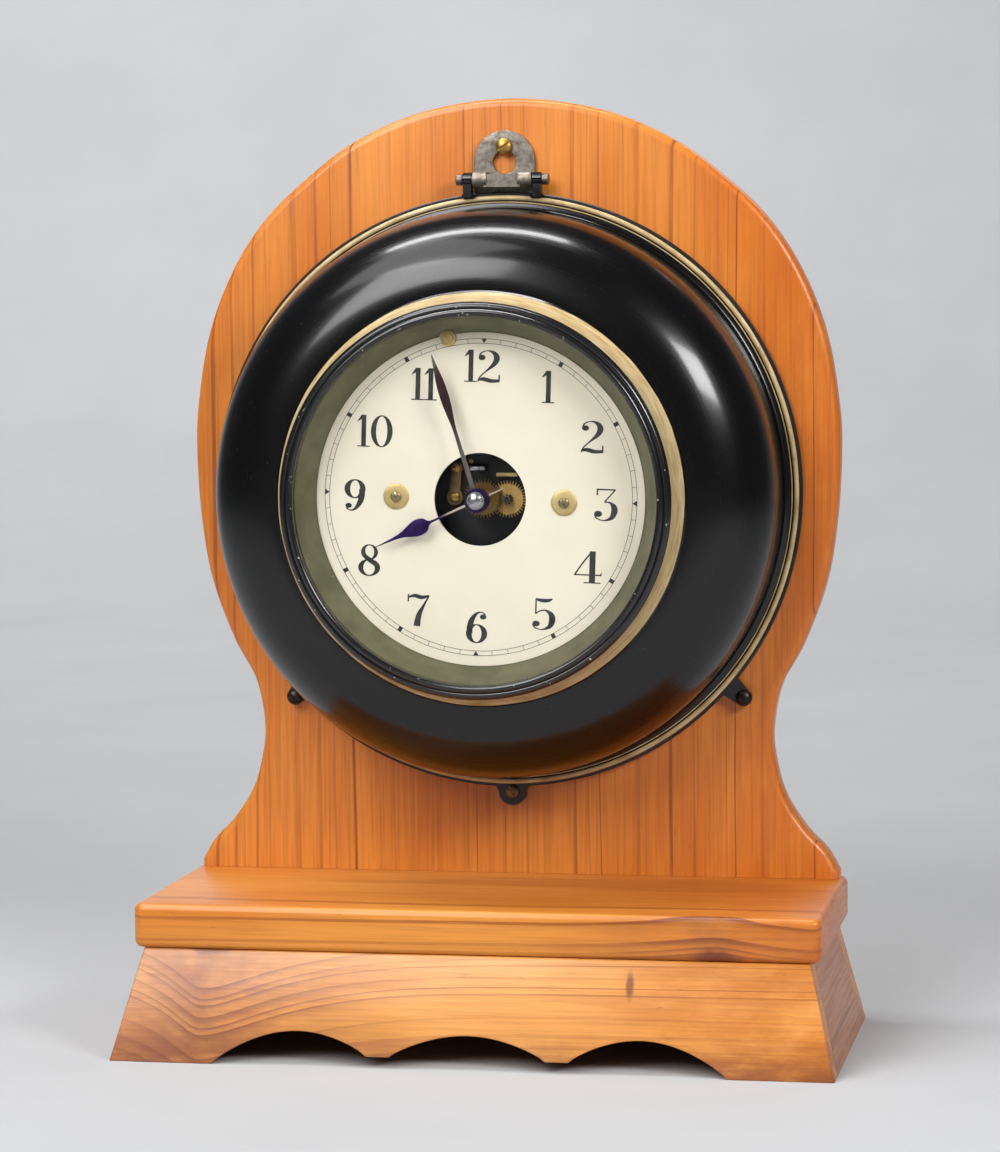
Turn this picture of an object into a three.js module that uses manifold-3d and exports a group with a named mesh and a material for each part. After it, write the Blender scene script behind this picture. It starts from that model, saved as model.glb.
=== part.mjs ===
// Round battery pendulum wall clock hung on a shaped wooden stand.
// Millimetres, +Z up, -Y towards the viewer, origin at the middle of the footprint on the floor.
import * as THREE from 'three';
import { mergeVertices } from 'three/addons/utils/BufferGeometryUtils.js';
import Module from 'manifold-3d';

const wasm = await Module();
wasm.setup();

// Stand
const GLUE = 0.1;
const PLINTH_W = 374;
const PLINTH_D = 172;
const PLINTH_H = 55.8;
const PLINTH_SPLAY_SIDE = 14;
const PLINTH_SPLAY_FRONT = 20;
const PLINTH_SPLAY_REAR = 11.5;
const PANEL_T = 18;
const ARCH_FOOT = 54;
const ARCH_CUSP = 12;
const ARCH_CUSP_Z = 5.6;
const ARCH_TOP_Z = 17;
const SHELF_W = 357;
const SHELF_T = 23;
const SHELF_ROUND = 3.6;
const SHELF_OVER = 1.5;
const BOARD_T = 18;
const BOARD_TOP = 495.5;
const BOARD_ROUND = 4.2;
const BOARD_SETBACK = 146;

// Clock case
const CLOCK_X = -2.8;
const CLOCK_Z = 286.2;
const WALL_R = 150;
const SHEET = 1.8;
const RIM_OUT = 6.3;
const RIM_R = WALL_R + RIM_OUT;
const BEAD_R = 1.4;
const RIM_LINE_IN = 2.3;
const RIM_LINE_R = RIM_R - RIM_LINE_IN;
const TORUS_U = 40;
const BAND_R = 108;
const TORUS_H = 40;
const BAND_U = TORUS_U + TORUS_H;
const BAND_W = 6.1;
const LIP_R = BAND_R - BAND_W;
const BAND_H = 15.6;
const LIP_U = BAND_U + BAND_H;
const BEZEL_H = 5.6;
const BEZEL_W = 7.1;
const BEZEL_IN_R = LIP_R - BEZEL_W;
const GLASS_T = 2.2;
const PAN_OUT = 3.2;
const PAN_R = RIM_R + PAN_OUT;
const PAN_U = 3.2;
const PAN_T = 2;
const PAN_DEPTH = 9.8;
const LUG_LEFT_OUT = 3;
const LUG_LEFT_R = PAN_R + LUG_LEFT_OUT;
const LUG_LEFT_ANGLE = -133.7;
const LUG_RIGHT_OUT = 8.8;
const LUG_RIGHT_R = PAN_R + LUG_RIGHT_OUT;
const LUG_RIGHT_ANGLE = 130.7;
const LUG_LOW_OUT = 2.5;
const LUG_LOW_R = PAN_R + LUG_LOW_OUT;
const LUG_LOW_ANGLE = 179.2;
const LUG_SIDE_HALF = 4.6;
const LUG_LOW_HALF = 7.6;

// Hanger and hinge
const PIN_RISE = 9.7;
const PIN_Z = RIM_R + PIN_RISE;
const PIN_U = 8.6;
const PIN_R = 2;
const PIN_HEAD_R = 3;
const PIN_HEAD_T = 3.7;
const BARREL_R = 4.3;
const BARREL_IN = 8.3;
const BARREL_L = 7.7;
const BARREL_OUT = BARREL_IN + BARREL_L;
const HINGE_PLAY = 0.6;
const HINGE_LUG_IN = BARREL_OUT + HINGE_PLAY;
const HINGE_LUG_T = 4.4;
const HINGE_LUG_OUT = HINGE_LUG_IN + HINGE_LUG_T;
const HINGE_FOOT_T = 1.6;
const HANGER_T = 3;
const HANGER_DROP = 24;
const HANGER_HALF = HINGE_LUG_IN - GLUE;
const ARCH_RISE = 9.7;
const HANGER_ARCH_Z = PIN_Z + ARCH_RISE;
const KEY_R = 6.2;
const KEY_DROP = 0.3;
const KEY_Z = HANGER_ARCH_Z - KEY_DROP;
const SLOT_HALF = 2.6;
const HANG_SCREW_RISE = 8.3;
const HANG_SCREW_Z = KEY_Z + HANG_SCREW_RISE;
const HANG_SHANK_R = 2.3;
const HANG_HEAD_R = 4.5;

// Dial
const DIAL_U = BAND_U;
const DIAL_T = 1.6;
const REVEAL_W = 8.4;
const DIAL_SEEN_R = BEZEL_IN_R - REVEAL_W;
const DIAL_LAP = 5.6;
const DIAL_R = DIAL_SEEN_R + DIAL_LAP;
const DIAL_HOLE_R = 24.1;
const DIAL_TURN = 2;
const DIAL_SCREW_R = 44.2;
const EDGE_SCREW_IN = 1.5;
const EDGE_SCREW_R = DIAL_SEEN_R - EDGE_SCREW_IN;
const EDGE_SCREW_ANGLE = -10.7;
const POST_R = 4;

// Movement frame
const PLATE_HALF = 33;
const PLATE_LOW = -31;
const PLATE_HIGH = 72;
const PLATE_T = 2;
const REAR_U = 36;
const FRONT_U = 60;
const PILLAR_X = 27;
const PILLAR_LOW = -25;
const PILLAR_HIGH = 66;
const PILLAR_R = 4;
const PILLAR_NECK = 2.8;
const ARBOR_R = 1.5;
const PIVOT_R = 1.1;
const RUN = 0.3;
const COCK_IN = 11.6;
const COCK_W = 9.9;
const COCK_OUT = COCK_IN + COCK_W;
const COCK_LOW = -7;
const COCK_HIGH = 21;
const COCK_T = 2.6;
const COCK_SCREW_R = 1.3;
const STEEL_BLOCK_Z = 13.3;
const STEEL_BLOCK_H = 4.3;
const STEEL_BLOCK_W = 8.6;
const LEVER_X = 6;
const LEVER_L = 11;
const LEVER_Z = 11.2;
const LEVER_H = 1.8;

// Wheels
const CANNON_T = 12;
const MINUTE_T = 36;
const MINUTE_PINION_T = 9;
const HOUR_T = 36;
const MOTION_D = 12.5;
const MOTION_ANGLE = 92.3;
const CENTRE_T = 45;
const THIRD_PINION_T = 6;
const THIRD_D = 20.4;
const THIRD_T = 48;
const RATCHET_PINION_T = 6;
const RATCHET_D = 18.9;
const RATCHET_T = 72;
const RATCHET_R = 14;
const RATCHET_Z = 36;

// Hands
const HOUR_ANGLE = 245.6;
const MINUTE_ANGLE = 342.9;
const HOUR_U = 85.2;
const MINUTE_U = 88.3;
const HAND_T = 0.8;

// Pendulum and magnet
const PENDULUM_Z = 100;
const PENDULUM_L = 172.5;
const PENDULUM_U = 25.4;
const ROD_T = 2.5;
const COIL_R = 19;
const COIL_HALF = 12;
const COIL_BORE = 8;
const MAGNET_R = 5.5;
const MAGNET_REACH = 26;
const FORK_Z = 62;
const FORK_PIN_Z = 80;
const FORK_STUD = 7.2;

// Battery
const CELL_R = 16.5;
const CELL_L = 60;
const CELL_X = 98;
const CLIP_H = 24;

const BIG_SEG = 40;
const MID_SEG = 20;
const COIL_SEG = 16;
const SMALL_SEG = 12;
const SCREW_SEG = 10;
const FINE_SEG = 8;

const BOARD_Y = -PLINTH_D / 2 + BOARD_SETBACK;
const SHELF_BOTTOM = PLINTH_H + GLUE;
const SHELF_TOP = SHELF_BOTTOM + SHELF_T;
const SHELF_FRONT = -PLINTH_D / 2 + PLINTH_SPLAY_FRONT - SHELF_OVER;
const SHELF_BACK = BOARD_Y + BOARD_T;
const FLOOR_U = PAN_U + PAN_T + GLUE;

const group = new THREE.Group();
group.name = 'electric_clock';

const FINISH = {
  wood: { color: 0xb8671f, roughness: 0.45, metalness: 0 },
  black: { color: 0x121212, roughness: 0.35, metalness: 0.2 },
  darksteel: { color: 0x2a2826, roughness: 0.5, metalness: 0.7 },
  cast: { color: 0x6d6a63, roughness: 0.6, metalness: 0.7 },
  steel: { color: 0xa9abad, roughness: 0.3, metalness: 0.95 },
  brass: { color: 0xb5914a, roughness: 0.35, metalness: 0.9 },
  cream: { color: 0xe9dfc0, roughness: 0.6, metalness: 0 },
  olive: { color: 0x6c6a48, roughness: 0.6, metalness: 0.1 },
  glass: { color: 0xe8efee, roughness: 0.05, metalness: 0 },
  blued: { color: 0x2b2350, roughness: 0.3, metalness: 0.8 },
  copper: { color: 0x8a3d1e, roughness: 0.5, metalness: 0.3 },
  magnet: { color: 0x7a1f1a, roughness: 0.5, metalness: 0.2 },
  paper: { color: 0x3c4f6b, roughness: 0.7, metalness: 0 },
};

// Closed solids
function tidy(geometry) {
  const bare = new THREE.BufferGeometry();
  bare.setAttribute('position', geometry.getAttribute('position').clone());
  if (geometry.index) {
    bare.setIndex(geometry.index.clone());
  }
  const merged = mergeVertices(bare, 1e-4);
  const index = merged.index.array;
  const kept = [];
  for (let i = 0; i < index.length; i += 3) {
    const [a, b, c] = [index[i], index[i + 1], index[i + 2]];
    if (a !== b && b !== c && c !== a) {
      kept.push(a, b, c);
    }
  }
  const p = merged.getAttribute('position').array;
  let volume = 0;
  for (let i = 0; i < kept.length; i += 3) {
    const a = new THREE.Vector3().fromArray(p, kept[i] * 3);
    const b = new THREE.Vector3().fromArray(p, kept[i + 1] * 3);
    const c = new THREE.Vector3().fromArray(p, kept[i + 2] * 3);
    volume += a.dot(b.cross(c));
  }
  if (volume < 0) {
    for (let i = 0; i < kept.length; i += 3) {
      [kept[i], kept[i + 1]] = [kept[i + 1], kept[i]];
    }
  }
  merged.setIndex(kept);
  return merged;
}

function toManifold(geometry) {
  const solid = tidy(geometry);
  return new wasm.Manifold(new wasm.Mesh({
    numProp: 3,
    vertProperties: new Float32Array(solid.getAttribute('position').array),
    triVerts: new Uint32Array(solid.index.array),
  }));
}

function toGeometry(manifold) {
  const mesh = manifold.getMesh();
  const geometry = new THREE.BufferGeometry();
  const step = mesh.numProp;
  const count = mesh.vertProperties.length / step;
  const positions = new Float32Array(count * 3);
  for (let i = 0; i < count; i += 1) {
    for (let k = 0; k < 3; k += 1) {
      positions[i * 3 + k] = mesh.vertProperties[i * step + k];
    }
  }
  geometry.setAttribute('position', new THREE.BufferAttribute(positions, 3));
  geometry.setIndex(Array.from(mesh.triVerts));
  return geometry;
}

function join(...geometries) {
  const solids = geometries.map(toManifold);
  return toGeometry(solids.slice(1).reduce((sum, solid) => sum.add(solid), solids[0]));
}

function cut(base, ...tools) {
  return toGeometry(tools.map(toManifold).reduce((rest, tool) => rest.subtract(tool), toManifold(base)));
}

function add(name, finish, geometry) {
  const solid = tidy(geometry);
  solid.computeVertexNormals();
  const mesh = new THREE.Mesh(solid, new THREE.MeshStandardMaterial(FINISH[finish]));
  mesh.name = name;
  group.add(mesh);
}

// Clock pieces are drawn about the clock's axis: x right, z up, u forward from the board's face
function addClock(name, finish, geometry) {
  add(name, finish, geometry.clone().translate(CLOCK_X, BOARD_Y, CLOCK_Z));
}

// Thin shafts and their holes need fewer sides
function roundCount(r) {
  return r < 2.6 ? FINE_SEG : SMALL_SEG;
}

// A flat outline in x and z, thick from u0 to u1
function plate(shape, u0, u1, curveSegments = 8) {
  const geometry = new THREE.ExtrudeGeometry(shape, { depth: u1 - u0, bevelEnabled: false, curveSegments });
  return geometry.rotateX(Math.PI / 2).translate(0, -u0, 0);
}

// A flat outline in y and z, thick from x0 to x1
function plateX(shape, x0, x1, curveSegments = 8) {
  const geometry = new THREE.ExtrudeGeometry(shape, { depth: x1 - x0, bevelEnabled: false, curveSegments });
  const turn = new THREE.Matrix4().makeBasis(
    new THREE.Vector3(0, 1, 0),
    new THREE.Vector3(0, 0, 1),
    new THREE.Vector3(1, 0, 0),
  );
  return geometry.applyMatrix4(turn).translate(x0, 0, 0);
}

// A turned solid about the clock's axis from [radius, u] points that close on themselves
function turned(points, segments = BIG_SEG, x = 0, z = 0) {
  const loop = points.map(([r, u]) => new THREE.Vector2(r, -u));
  if (points[0][0] > 0) {
    loop.push(loop[0].clone());
  }
  return new THREE.LatheGeometry(loop, segments).translate(x, 0, z);
}

// A turned solid about the x direction from [radius, x] points
function turnedX(points, segments, u, z) {
  const loop = points.map(([r, x]) => new THREE.Vector2(r, -x));
  if (points[0][0] > 0) {
    loop.push(loop[0].clone());
  }
  return new THREE.LatheGeometry(loop, segments).rotateZ(Math.PI / 2).translate(0, -u, z);
}

function rod(r, u0, u1, x = 0, z = 0) {
  const geometry = new THREE.CylinderGeometry(r, r, u1 - u0, roundCount(r));
  return geometry.translate(x, -(u0 + u1) / 2, z);
}

function tube(rIn, rOut, u0, u1, x = 0, z = 0, segments = SMALL_SEG) {
  return turned([[rIn, u0], [rOut, u0], [rOut, u1], [rIn, u1]], segments, x, z);
}

function block(x0, x1, u0, u1, z0, z1) {
  const geometry = new THREE.BoxGeometry(x1 - x0, u1 - u0, z1 - z0);
  return geometry.translate((x0 + x1) / 2, -(u0 + u1) / 2, (z0 + z1) / 2);
}

function outline(points) {
  return new THREE.Shape(points.map(([x, y]) => new THREE.Vector2(x, y)));
}

function disc(r, x = 0, z = 0) {
  const count = r > 10 ? MID_SEG + 8 : roundCount(r);
  const points = [];
  for (let i = 0; i < count; i += 1) {
    const a = (Math.PI * 2 * i) / count;
    points.push(new THREE.Vector2(x + r * Math.cos(a), z + r * Math.sin(a)));
  }
  return new THREE.Path(points);
}

function roundedBox(x0, x1, z0, z1, r) {
  const shape = new THREE.Shape();
  shape.absarc(x1 - r, z1 - r, r, 0, Math.PI / 2, false);
  shape.absarc(x0 + r, z1 - r, r, Math.PI / 2, Math.PI, false);
  shape.absarc(x0 + r, z0 + r, r, Math.PI, Math.PI * 1.5, false);
  shape.absarc(x1 - r, z0 + r, r, Math.PI * 1.5, Math.PI * 2, false);
  return shape;
}

// Place on the dial: degrees clockwise from the top
function clockwise(radius, degrees) {
  const a = THREE.MathUtils.degToRad(degrees);
  return [radius * Math.sin(a), radius * Math.cos(a)];
}

// Six-sided solid from four floor corners and four top corners
function sixSided(low, high) {
  const corners = [...low, ...high];
  const faces = [
    [3, 2, 1, 0],
    [4, 5, 6, 7],
    [0, 1, 5, 4],
    [1, 2, 6, 5],
    [2, 3, 7, 6],
    [3, 0, 4, 7],
  ];
  const geometry = new THREE.BufferGeometry();
  geometry.setAttribute('position', new THREE.Float32BufferAttribute(corners.flat(), 3));
  geometry.setIndex(faces.flatMap(([a, b, c, d]) => [a, b, c, a, c, d]));
  return geometry;
}

// Screw along the clock's axis: domed or flat head with a slot, plain shank
function screw(x, z, shankR, tipU, headU, headR, headH, slotDegrees, dome = 0.6) {
  const steps = 2;
  const points = [[0, tipU], [shankR, tipU], [shankR, headU], [headR, headU]];
  points.push([headR, headU + headH * (1 - dome)]);
  for (let i = 1; i <= steps; i += 1) {
    const a = (Math.PI / 2) * (i / steps);
    points.push([headR * Math.cos(a), headU + headH * (1 - dome + dome * Math.sin(a))]);
  }
  points[points.length - 1][0] = 0;
  const body = turned(points, SCREW_SEG, 0, 0);
  const reach = headR * 1.2;
  const slotHalf = headR * 0.1;
  const slot = block(-reach, reach, headU + headH * 0.55, headU + headH * 1.2, -slotHalf, slotHalf);
  slot.rotateY(THREE.MathUtils.degToRad(slotDegrees));
  return cut(body, slot).translate(x, 0, z);
}

// Spur wheel outline: a tooth is centred on the given direction
function gearShape(teeth, module, direction, bore, wheel) {
  const pitchR = (module * teeth) / 2;
  const pitch = (Math.PI * 2) / teeth;
  const tipR = pitchR + module * (wheel ? 0.7 : 0.55);
  const rootR = pitchR - module * (wheel ? 1.35 : 1.2);
  const wheelTooth = [[rootR, -pitch * 0.5], [tipR, -pitch * 0.08], [tipR, pitch * 0.08]];
  const leaf = [[rootR, -pitch * 0.15], [tipR, -pitch * 0.06], [tipR, pitch * 0.06], [rootR, pitch * 0.15]];
  const points = [];
  for (let i = 0; i < teeth; i += 1) {
    const a = direction + i * pitch;
    for (const [r, da] of wheel ? wheelTooth : leaf) {
      points.push([r * Math.cos(a + da), r * Math.sin(a + da)]);
    }
  }
  const shape = outline(points);
  if (bore > 0) {
    shape.holes.push(disc(bore));
  }
  return shape;
}

// Plinth: apron, rear panel and side panels lean inwards towards the shelf
const HALF_LOW = PLINTH_W / 2;
const HALF_HIGH = HALF_LOW - PLINTH_SPLAY_SIDE;
const FRONT_LOW = -PLINTH_D / 2;
const FRONT_HIGH = FRONT_LOW + PLINTH_SPLAY_FRONT;
const REAR_LOW = PLINTH_D / 2;
const REAR_HIGH = REAR_LOW - PLINTH_SPLAY_REAR;

function crossPanel(yLow, yHigh, thick) {
  return sixSided(
    [[-HALF_LOW, yLow, 0], [HALF_LOW, yLow, 0], [HALF_LOW, yLow + thick, 0], [-HALF_LOW, yLow + thick, 0]],
    [
      [-HALF_HIGH, yHigh, PLINTH_H],
      [HALF_HIGH, yHigh, PLINTH_H],
      [HALF_HIGH, yHigh + thick, PLINTH_H],
      [-HALF_HIGH, yHigh + thick, PLINTH_H],
    ],
  );
}

function sidePanel(sign) {
  const inLow = HALF_LOW - PANEL_T;
  const inHigh = HALF_HIGH - PANEL_T;
  const f0 = FRONT_LOW + PANEL_T + GLUE;
  const f1 = FRONT_HIGH + PANEL_T + GLUE;
  const r0 = REAR_LOW - PANEL_T - GLUE;
  const r1 = REAR_HIGH - PANEL_T - GLUE;
  return sixSided(
    [[sign * inLow, f0, 0], [sign * HALF_LOW, f0, 0], [sign * HALF_LOW, r0, 0], [sign * inLow, r0, 0]],
    [
      [sign * inHigh, f1, PLINTH_H],
      [sign * HALF_HIGH, f1, PLINTH_H],
      [sign * HALF_HIGH, r1, PLINTH_H],
      [sign * inHigh, r1, PLINTH_H],
    ],
  );
}

// Three low arches sawn into the apron, with blunt cusps between them
function archCut() {
  const inner = HALF_LOW - ARCH_FOOT;
  const span = (2 * inner - 2 * ARCH_CUSP) / 3;
  const ends = [
    [-inner, -1, -inner + span, ARCH_CUSP_Z],
    [-span / 2, ARCH_CUSP_Z, span / 2, ARCH_CUSP_Z],
    [inner - span, ARCH_CUSP_Z, inner, -1],
  ];
  const steps = 9;
  const points = [[-inner, -2]];
  for (const [x0, z0, x1, z1] of ends) {
    for (let i = 0; i <= steps; i += 1) {
      const t = i / steps;
      const base = z0 + (z1 - z0) * t;
      const rise = ARCH_TOP_Z - (z0 + z1) / 2;
      points.push([x0 + (x1 - x0) * t, base + rise * Math.sin(Math.PI * t) ** 0.8]);
    }
  }
  points.push([inner, -2]);
  const reach = PLINTH_D;
  return plate(outline(points), 0, reach).translate(0, -PLINTH_D / 2 + PANEL_T * 3, 0);
}

add('front_apron', 'wood', cut(crossPanel(FRONT_LOW, FRONT_HIGH, PANEL_T), archCut()));
add('rear_panel', 'wood', crossPanel(REAR_LOW - PANEL_T, REAR_HIGH - PANEL_T, PANEL_T));
add('side_panel_left', 'wood', sidePanel(-1));
add('side_panel_right', 'wood', sidePanel(1));

// Shelf with rounded edges
const shelf = new THREE.ExtrudeGeometry(
  roundedBox(-SHELF_W / 2, SHELF_W / 2, SHELF_FRONT, SHELF_BACK, SHELF_ROUND + 1.4),
  {
    depth: SHELF_T - 2 * SHELF_ROUND,
    bevelEnabled: true,
    bevelThickness: SHELF_ROUND,
    bevelSize: SHELF_ROUND,
    bevelOffset: -SHELF_ROUND,
    bevelSegments: 2,
    curveSegments: 3,
  },
);
add('shelf', 'wood', shelf.translate(0, 0, SHELF_BOTTOM + SHELF_ROUND));

// Backboard: round head, waist and flared feet, from half widths read at heights above the shelf
const BOARD_H = BOARD_TOP - SHELF_TOP;
const BOARD_HALF = 175.7;
const BOARD_SIDE = [
  [0.266, 0.9855],
  [0.49, 0.947],
  [0.657, 0.895],
  [0.78, 0.845],
  [0.882, 0.779],
  [0.956, 0.699],
  [0.993, 0.61],
  [1.0, 0.545],
  [0.9875, 0.459],
  [0.956, 0.38],
  [0.888, 0.302],
  [0.8215, 0.25],
  [0.796, 0.2],
  [0.798, 0.16],
  [0.83, 0.108],
  [0.894, 0.065],
  [0.957, 0.037],
  [0.9965, 0.009],
];

function boardShape() {
  const side = BOARD_SIDE.map(([w, h]) => new THREE.Vector2(w * BOARD_HALF, SHELF_TOP + h * BOARD_H));
  const top = new THREE.Vector2(0, BOARD_TOP);
  const left = side.map((p) => new THREE.Vector2(-p.x, p.y)).reverse();
  const around = new THREE.SplineCurve([...left, top, ...side]).getSpacedPoints(48);
  const foot = side[side.length - 1].x;
  const below = SHELF_TOP - BOARD_ROUND * 3;
  return new THREE.Shape([new THREE.Vector2(-foot, below), ...around, new THREE.Vector2(foot, below)]);
}

const boardBlank = new THREE.ExtrudeGeometry(boardShape(), {
  depth: BOARD_T - 2 * BOARD_ROUND,
  bevelEnabled: true,
  bevelThickness: BOARD_ROUND,
  bevelSize: BOARD_ROUND,
  bevelOffset: -BOARD_ROUND,
  bevelSegments: 2,
});
boardBlank.rotateX(Math.PI / 2).translate(0, BOARD_Y + BOARD_T - BOARD_ROUND, 0);
const boardTrim = new THREE.BoxGeometry(PLINTH_W, PLINTH_D, PLINTH_H);
boardTrim.translate(0, BOARD_Y, SHELF_TOP + GLUE - PLINTH_H / 2);

const lugPlaces = [
  [...clockwise(LUG_LEFT_R, LUG_LEFT_ANGLE), 1.9],
  [...clockwise(LUG_RIGHT_R, LUG_RIGHT_ANGLE), 1.9],
  [...clockwise(LUG_LOW_R, LUG_LOW_ANGLE), 1.7],
];
const screwDepth = BOARD_T * 0.66;
const boardBores = lugPlaces.map(([x, z, r]) => rod(r + RUN, -screwDepth - RUN, 2, x, z));
boardBores.push(rod(HANG_SHANK_R + RUN, -screwDepth - RUN, 2, 0, HANG_SCREW_Z));
for (const bore of boardBores) {
  bore.translate(CLOCK_X, BOARD_Y, CLOCK_Z);
}
add('backboard', 'wood', cut(boardBlank, boardTrim, ...boardBores));

// Hanger: arched plate with a keyhole, two hinge barrels and a flattened bridge between them
function hangerShape() {
  const shape = new THREE.Shape();
  shape.moveTo(-HANGER_HALF, PIN_Z - HANGER_DROP);
  shape.lineTo(HANGER_HALF, PIN_Z - HANGER_DROP);
  shape.lineTo(HANGER_HALF, HANGER_ARCH_Z);
  shape.absarc(0, HANGER_ARCH_Z, HANGER_HALF, 0, Math.PI, false);
  shape.closePath();
  const key = new THREE.Path();
  const meet = Math.acos(SLOT_HALF / KEY_R);
  const slotTop = HANG_SCREW_Z + HANG_SHANK_R + GLUE - SLOT_HALF;
  key.absarc(0, slotTop, SLOT_HALF, 0, Math.PI, false);
  key.absarc(0, KEY_Z, KEY_R, Math.PI - meet, meet + Math.PI * 2, false);
  key.closePath();
  shape.holes.push(key);
  return shape;
}

function barrel(x0, x1, r) {
  return new THREE.CylinderGeometry(r, r, x1 - x0, COIL_SEG)
    .rotateZ(Math.PI / 2)
    .translate((x0 + x1) / 2, -PIN_U, PIN_Z);
}

const hangerU = GLUE;
const hangerParts = [plate(hangerShape(), hangerU, hangerU + HANGER_T, 6)];
for (const sign of [-1, 1]) {
  const [x0, x1] = sign < 0 ? [-BARREL_OUT, -BARREL_IN] : [BARREL_IN, BARREL_OUT];
  hangerParts.push(barrel(x0, x1, BARREL_R));
  const half = BARREL_R * 0.9;
  hangerParts.push(block(x0, x1, hangerU + HANGER_T * 0.5, PIN_U, PIN_Z - half, PIN_Z + half));
}
const bridgeU = PIN_U + PIN_R + 1.2;
const bridgeLow = PIN_Z - BARREL_R * 0.9;
const bridgeHigh = PIN_Z + BARREL_R * 0.65;
const bridgeIn = BARREL_IN + HANGER_T * 0.5;
hangerParts.push(block(-bridgeIn, bridgeIn, hangerU + HANGER_T * 0.5, bridgeU, bridgeLow, bridgeHigh));
const pinBore = barrel(-HINGE_LUG_OUT, HINGE_LUG_OUT, PIN_R + RUN);
addClock('hanger_bracket', 'cast', cut(join(...hangerParts), pinBore));
const hangHeadU = hangerU + HANGER_T + GLUE;
addClock(
  'hanger_screw',
  'brass',
  screw(0, HANG_SCREW_Z, HANG_SHANK_R, -screwDepth, hangHeadU, HANG_HEAD_R, 3.4, 24, 0.8),
);

const headIn = HINGE_LUG_OUT + RUN;
const pinHalf = headIn + PIN_HEAD_T;
addClock(
  'hinge_pin',
  'darksteel',
  turnedX(
    [
      [0, -pinHalf],
      [PIN_HEAD_R, -pinHalf],
      [PIN_HEAD_R, -headIn],
      [PIN_R, -headIn],
      [PIN_R, headIn],
      [PIN_HEAD_R, headIn],
      [PIN_HEAD_R, pinHalf],
      [0, pinHalf],
    ],
    SMALL_SEG,
    PIN_U,
    PIN_Z,
  ),
);

// Case rim: a rolled bead on a narrow flange in front of the back plate
const rimU = PAN_U + PAN_T + RUN;
const beadU = rimU + BEAD_R;
const wallFoot = beadU + BEAD_R * 1.9;

// Hinge lugs stand on the bead on both sides of the barrels: an eye round the pin on a spread foot
function hingeLug(sign) {
  const eye = PIN_R + 1.9;
  const footIn = HINGE_LUG_IN - 1.8;
  const footOut = HINGE_LUG_OUT + 0.8;
  const seat = RIM_R + BEAD_R - footIn * Math.tan(Math.PI / BIG_SEG) + GLUE;
  const footTop = seat + HINGE_FOOT_T;
  const shape = new THREE.Shape();
  shape.moveTo(-PIN_U - eye * 0.5, seat);
  shape.lineTo(-rimU, seat);
  shape.lineTo(-rimU, footTop);
  shape.absarc(-PIN_U, PIN_Z, eye, -Math.PI / 5, Math.PI * 1.2, false);
  shape.closePath();
  shape.holes.push(disc(PIN_R + RUN, -PIN_U, PIN_Z));
  const eyePlate = plateX(shape, HINGE_LUG_IN, HINGE_LUG_OUT);
  const foot = block(footIn, footOut, rimU, PIN_U + eye * 0.5, seat, footTop);
  const solid = join(eyePlate, foot);
  return sign < 0 ? solid.scale(-1, 1, 1) : solid;
}
addClock('hinge_lug_left', 'black', hingeLug(-1));
addClock('hinge_lug_right', 'black', hingeLug(1));

// Back plate: flat disc with a ring that centres the case, and three fixing lugs
function lugShape(tip, half) {
  const shape = new THREE.Shape();
  const root = PAN_R - 6;
  shape.moveTo(-half * 1.5, root);
  shape.lineTo(half * 1.5, root);
  shape.lineTo(half, tip);
  shape.absarc(0, tip, half, 0, Math.PI, false);
  shape.closePath();
  return shape;
}

function lug(tip, half, degrees) {
  return plate(lugShape(tip, half), PAN_U, PAN_U + PAN_T, 6).rotateY(THREE.MathUtils.degToRad(degrees));
}

const panRing = WALL_R - SHEET - 2 * RUN;
const pan = turned([
  [0, PAN_U],
  [PAN_R, PAN_U],
  [PAN_R, PAN_U + PAN_T],
  [panRing, PAN_U + PAN_T],
  [panRing, PAN_U + PAN_DEPTH],
  [panRing - PAN_T, PAN_U + PAN_DEPTH],
  [panRing - PAN_T, PAN_U + PAN_T],
  [0, PAN_U + PAN_T],
]);
const panLugs = [
  lug(LUG_LEFT_R, LUG_SIDE_HALF, LUG_LEFT_ANGLE),
  lug(LUG_RIGHT_R, LUG_SIDE_HALF, LUG_RIGHT_ANGLE),
  lug(LUG_LOW_R, LUG_LOW_HALF, LUG_LOW_ANGLE),
];
const panBores = lugPlaces.map(([x, z, r]) => rod(r + RUN, 0, PAN_U + PAN_T + 1, x, z));
addClock('back_plate', 'black', cut(join(pan, ...panLugs), ...panBores));
const lugHeadU = PAN_U + PAN_T + GLUE;
const lugScrews = [
  ['lug_screw_left', 'darksteel', 4.1, 3.2, 40, 0.8],
  ['lug_screw_right', 'darksteel', 4.1, 3.2, 70, 0.8],
  ['lug_screw_bottom', 'brass', 3.6, 2.4, 10, 0.7],
];
lugScrews.forEach(([name, finish, headR, headH, slot, dome], i) => {
  const [x, z, shankR] = lugPlaces[i];
  addClock(name, finish, screw(x, z, shankR, -screwDepth, lugHeadU, headR, headH, slot, dome));
});

// Spun case: beaded flange, straight wall, quarter-round body, steep band up to the bezel
function caseBody() {
  const points = [[WALL_R, wallFoot]];
  const steps = 6;
  for (let i = 0; i <= steps; i += 1) {
    const a = (Math.PI / 2) * (i / steps);
    points.push([BAND_R + (WALL_R - BAND_R) * Math.cos(a), TORUS_U + TORUS_H * Math.sin(a)]);
  }
    points.push([BAND_R - 0.4 * BAND_W, BAND_U + 0.2 * BAND_H]);
  points.push([BAND_R - 0.75 * BAND_W, BAND_U + 0.55 * BAND_H]);
  points.push([LIP_R, LIP_U]);
  return points;
}

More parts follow.
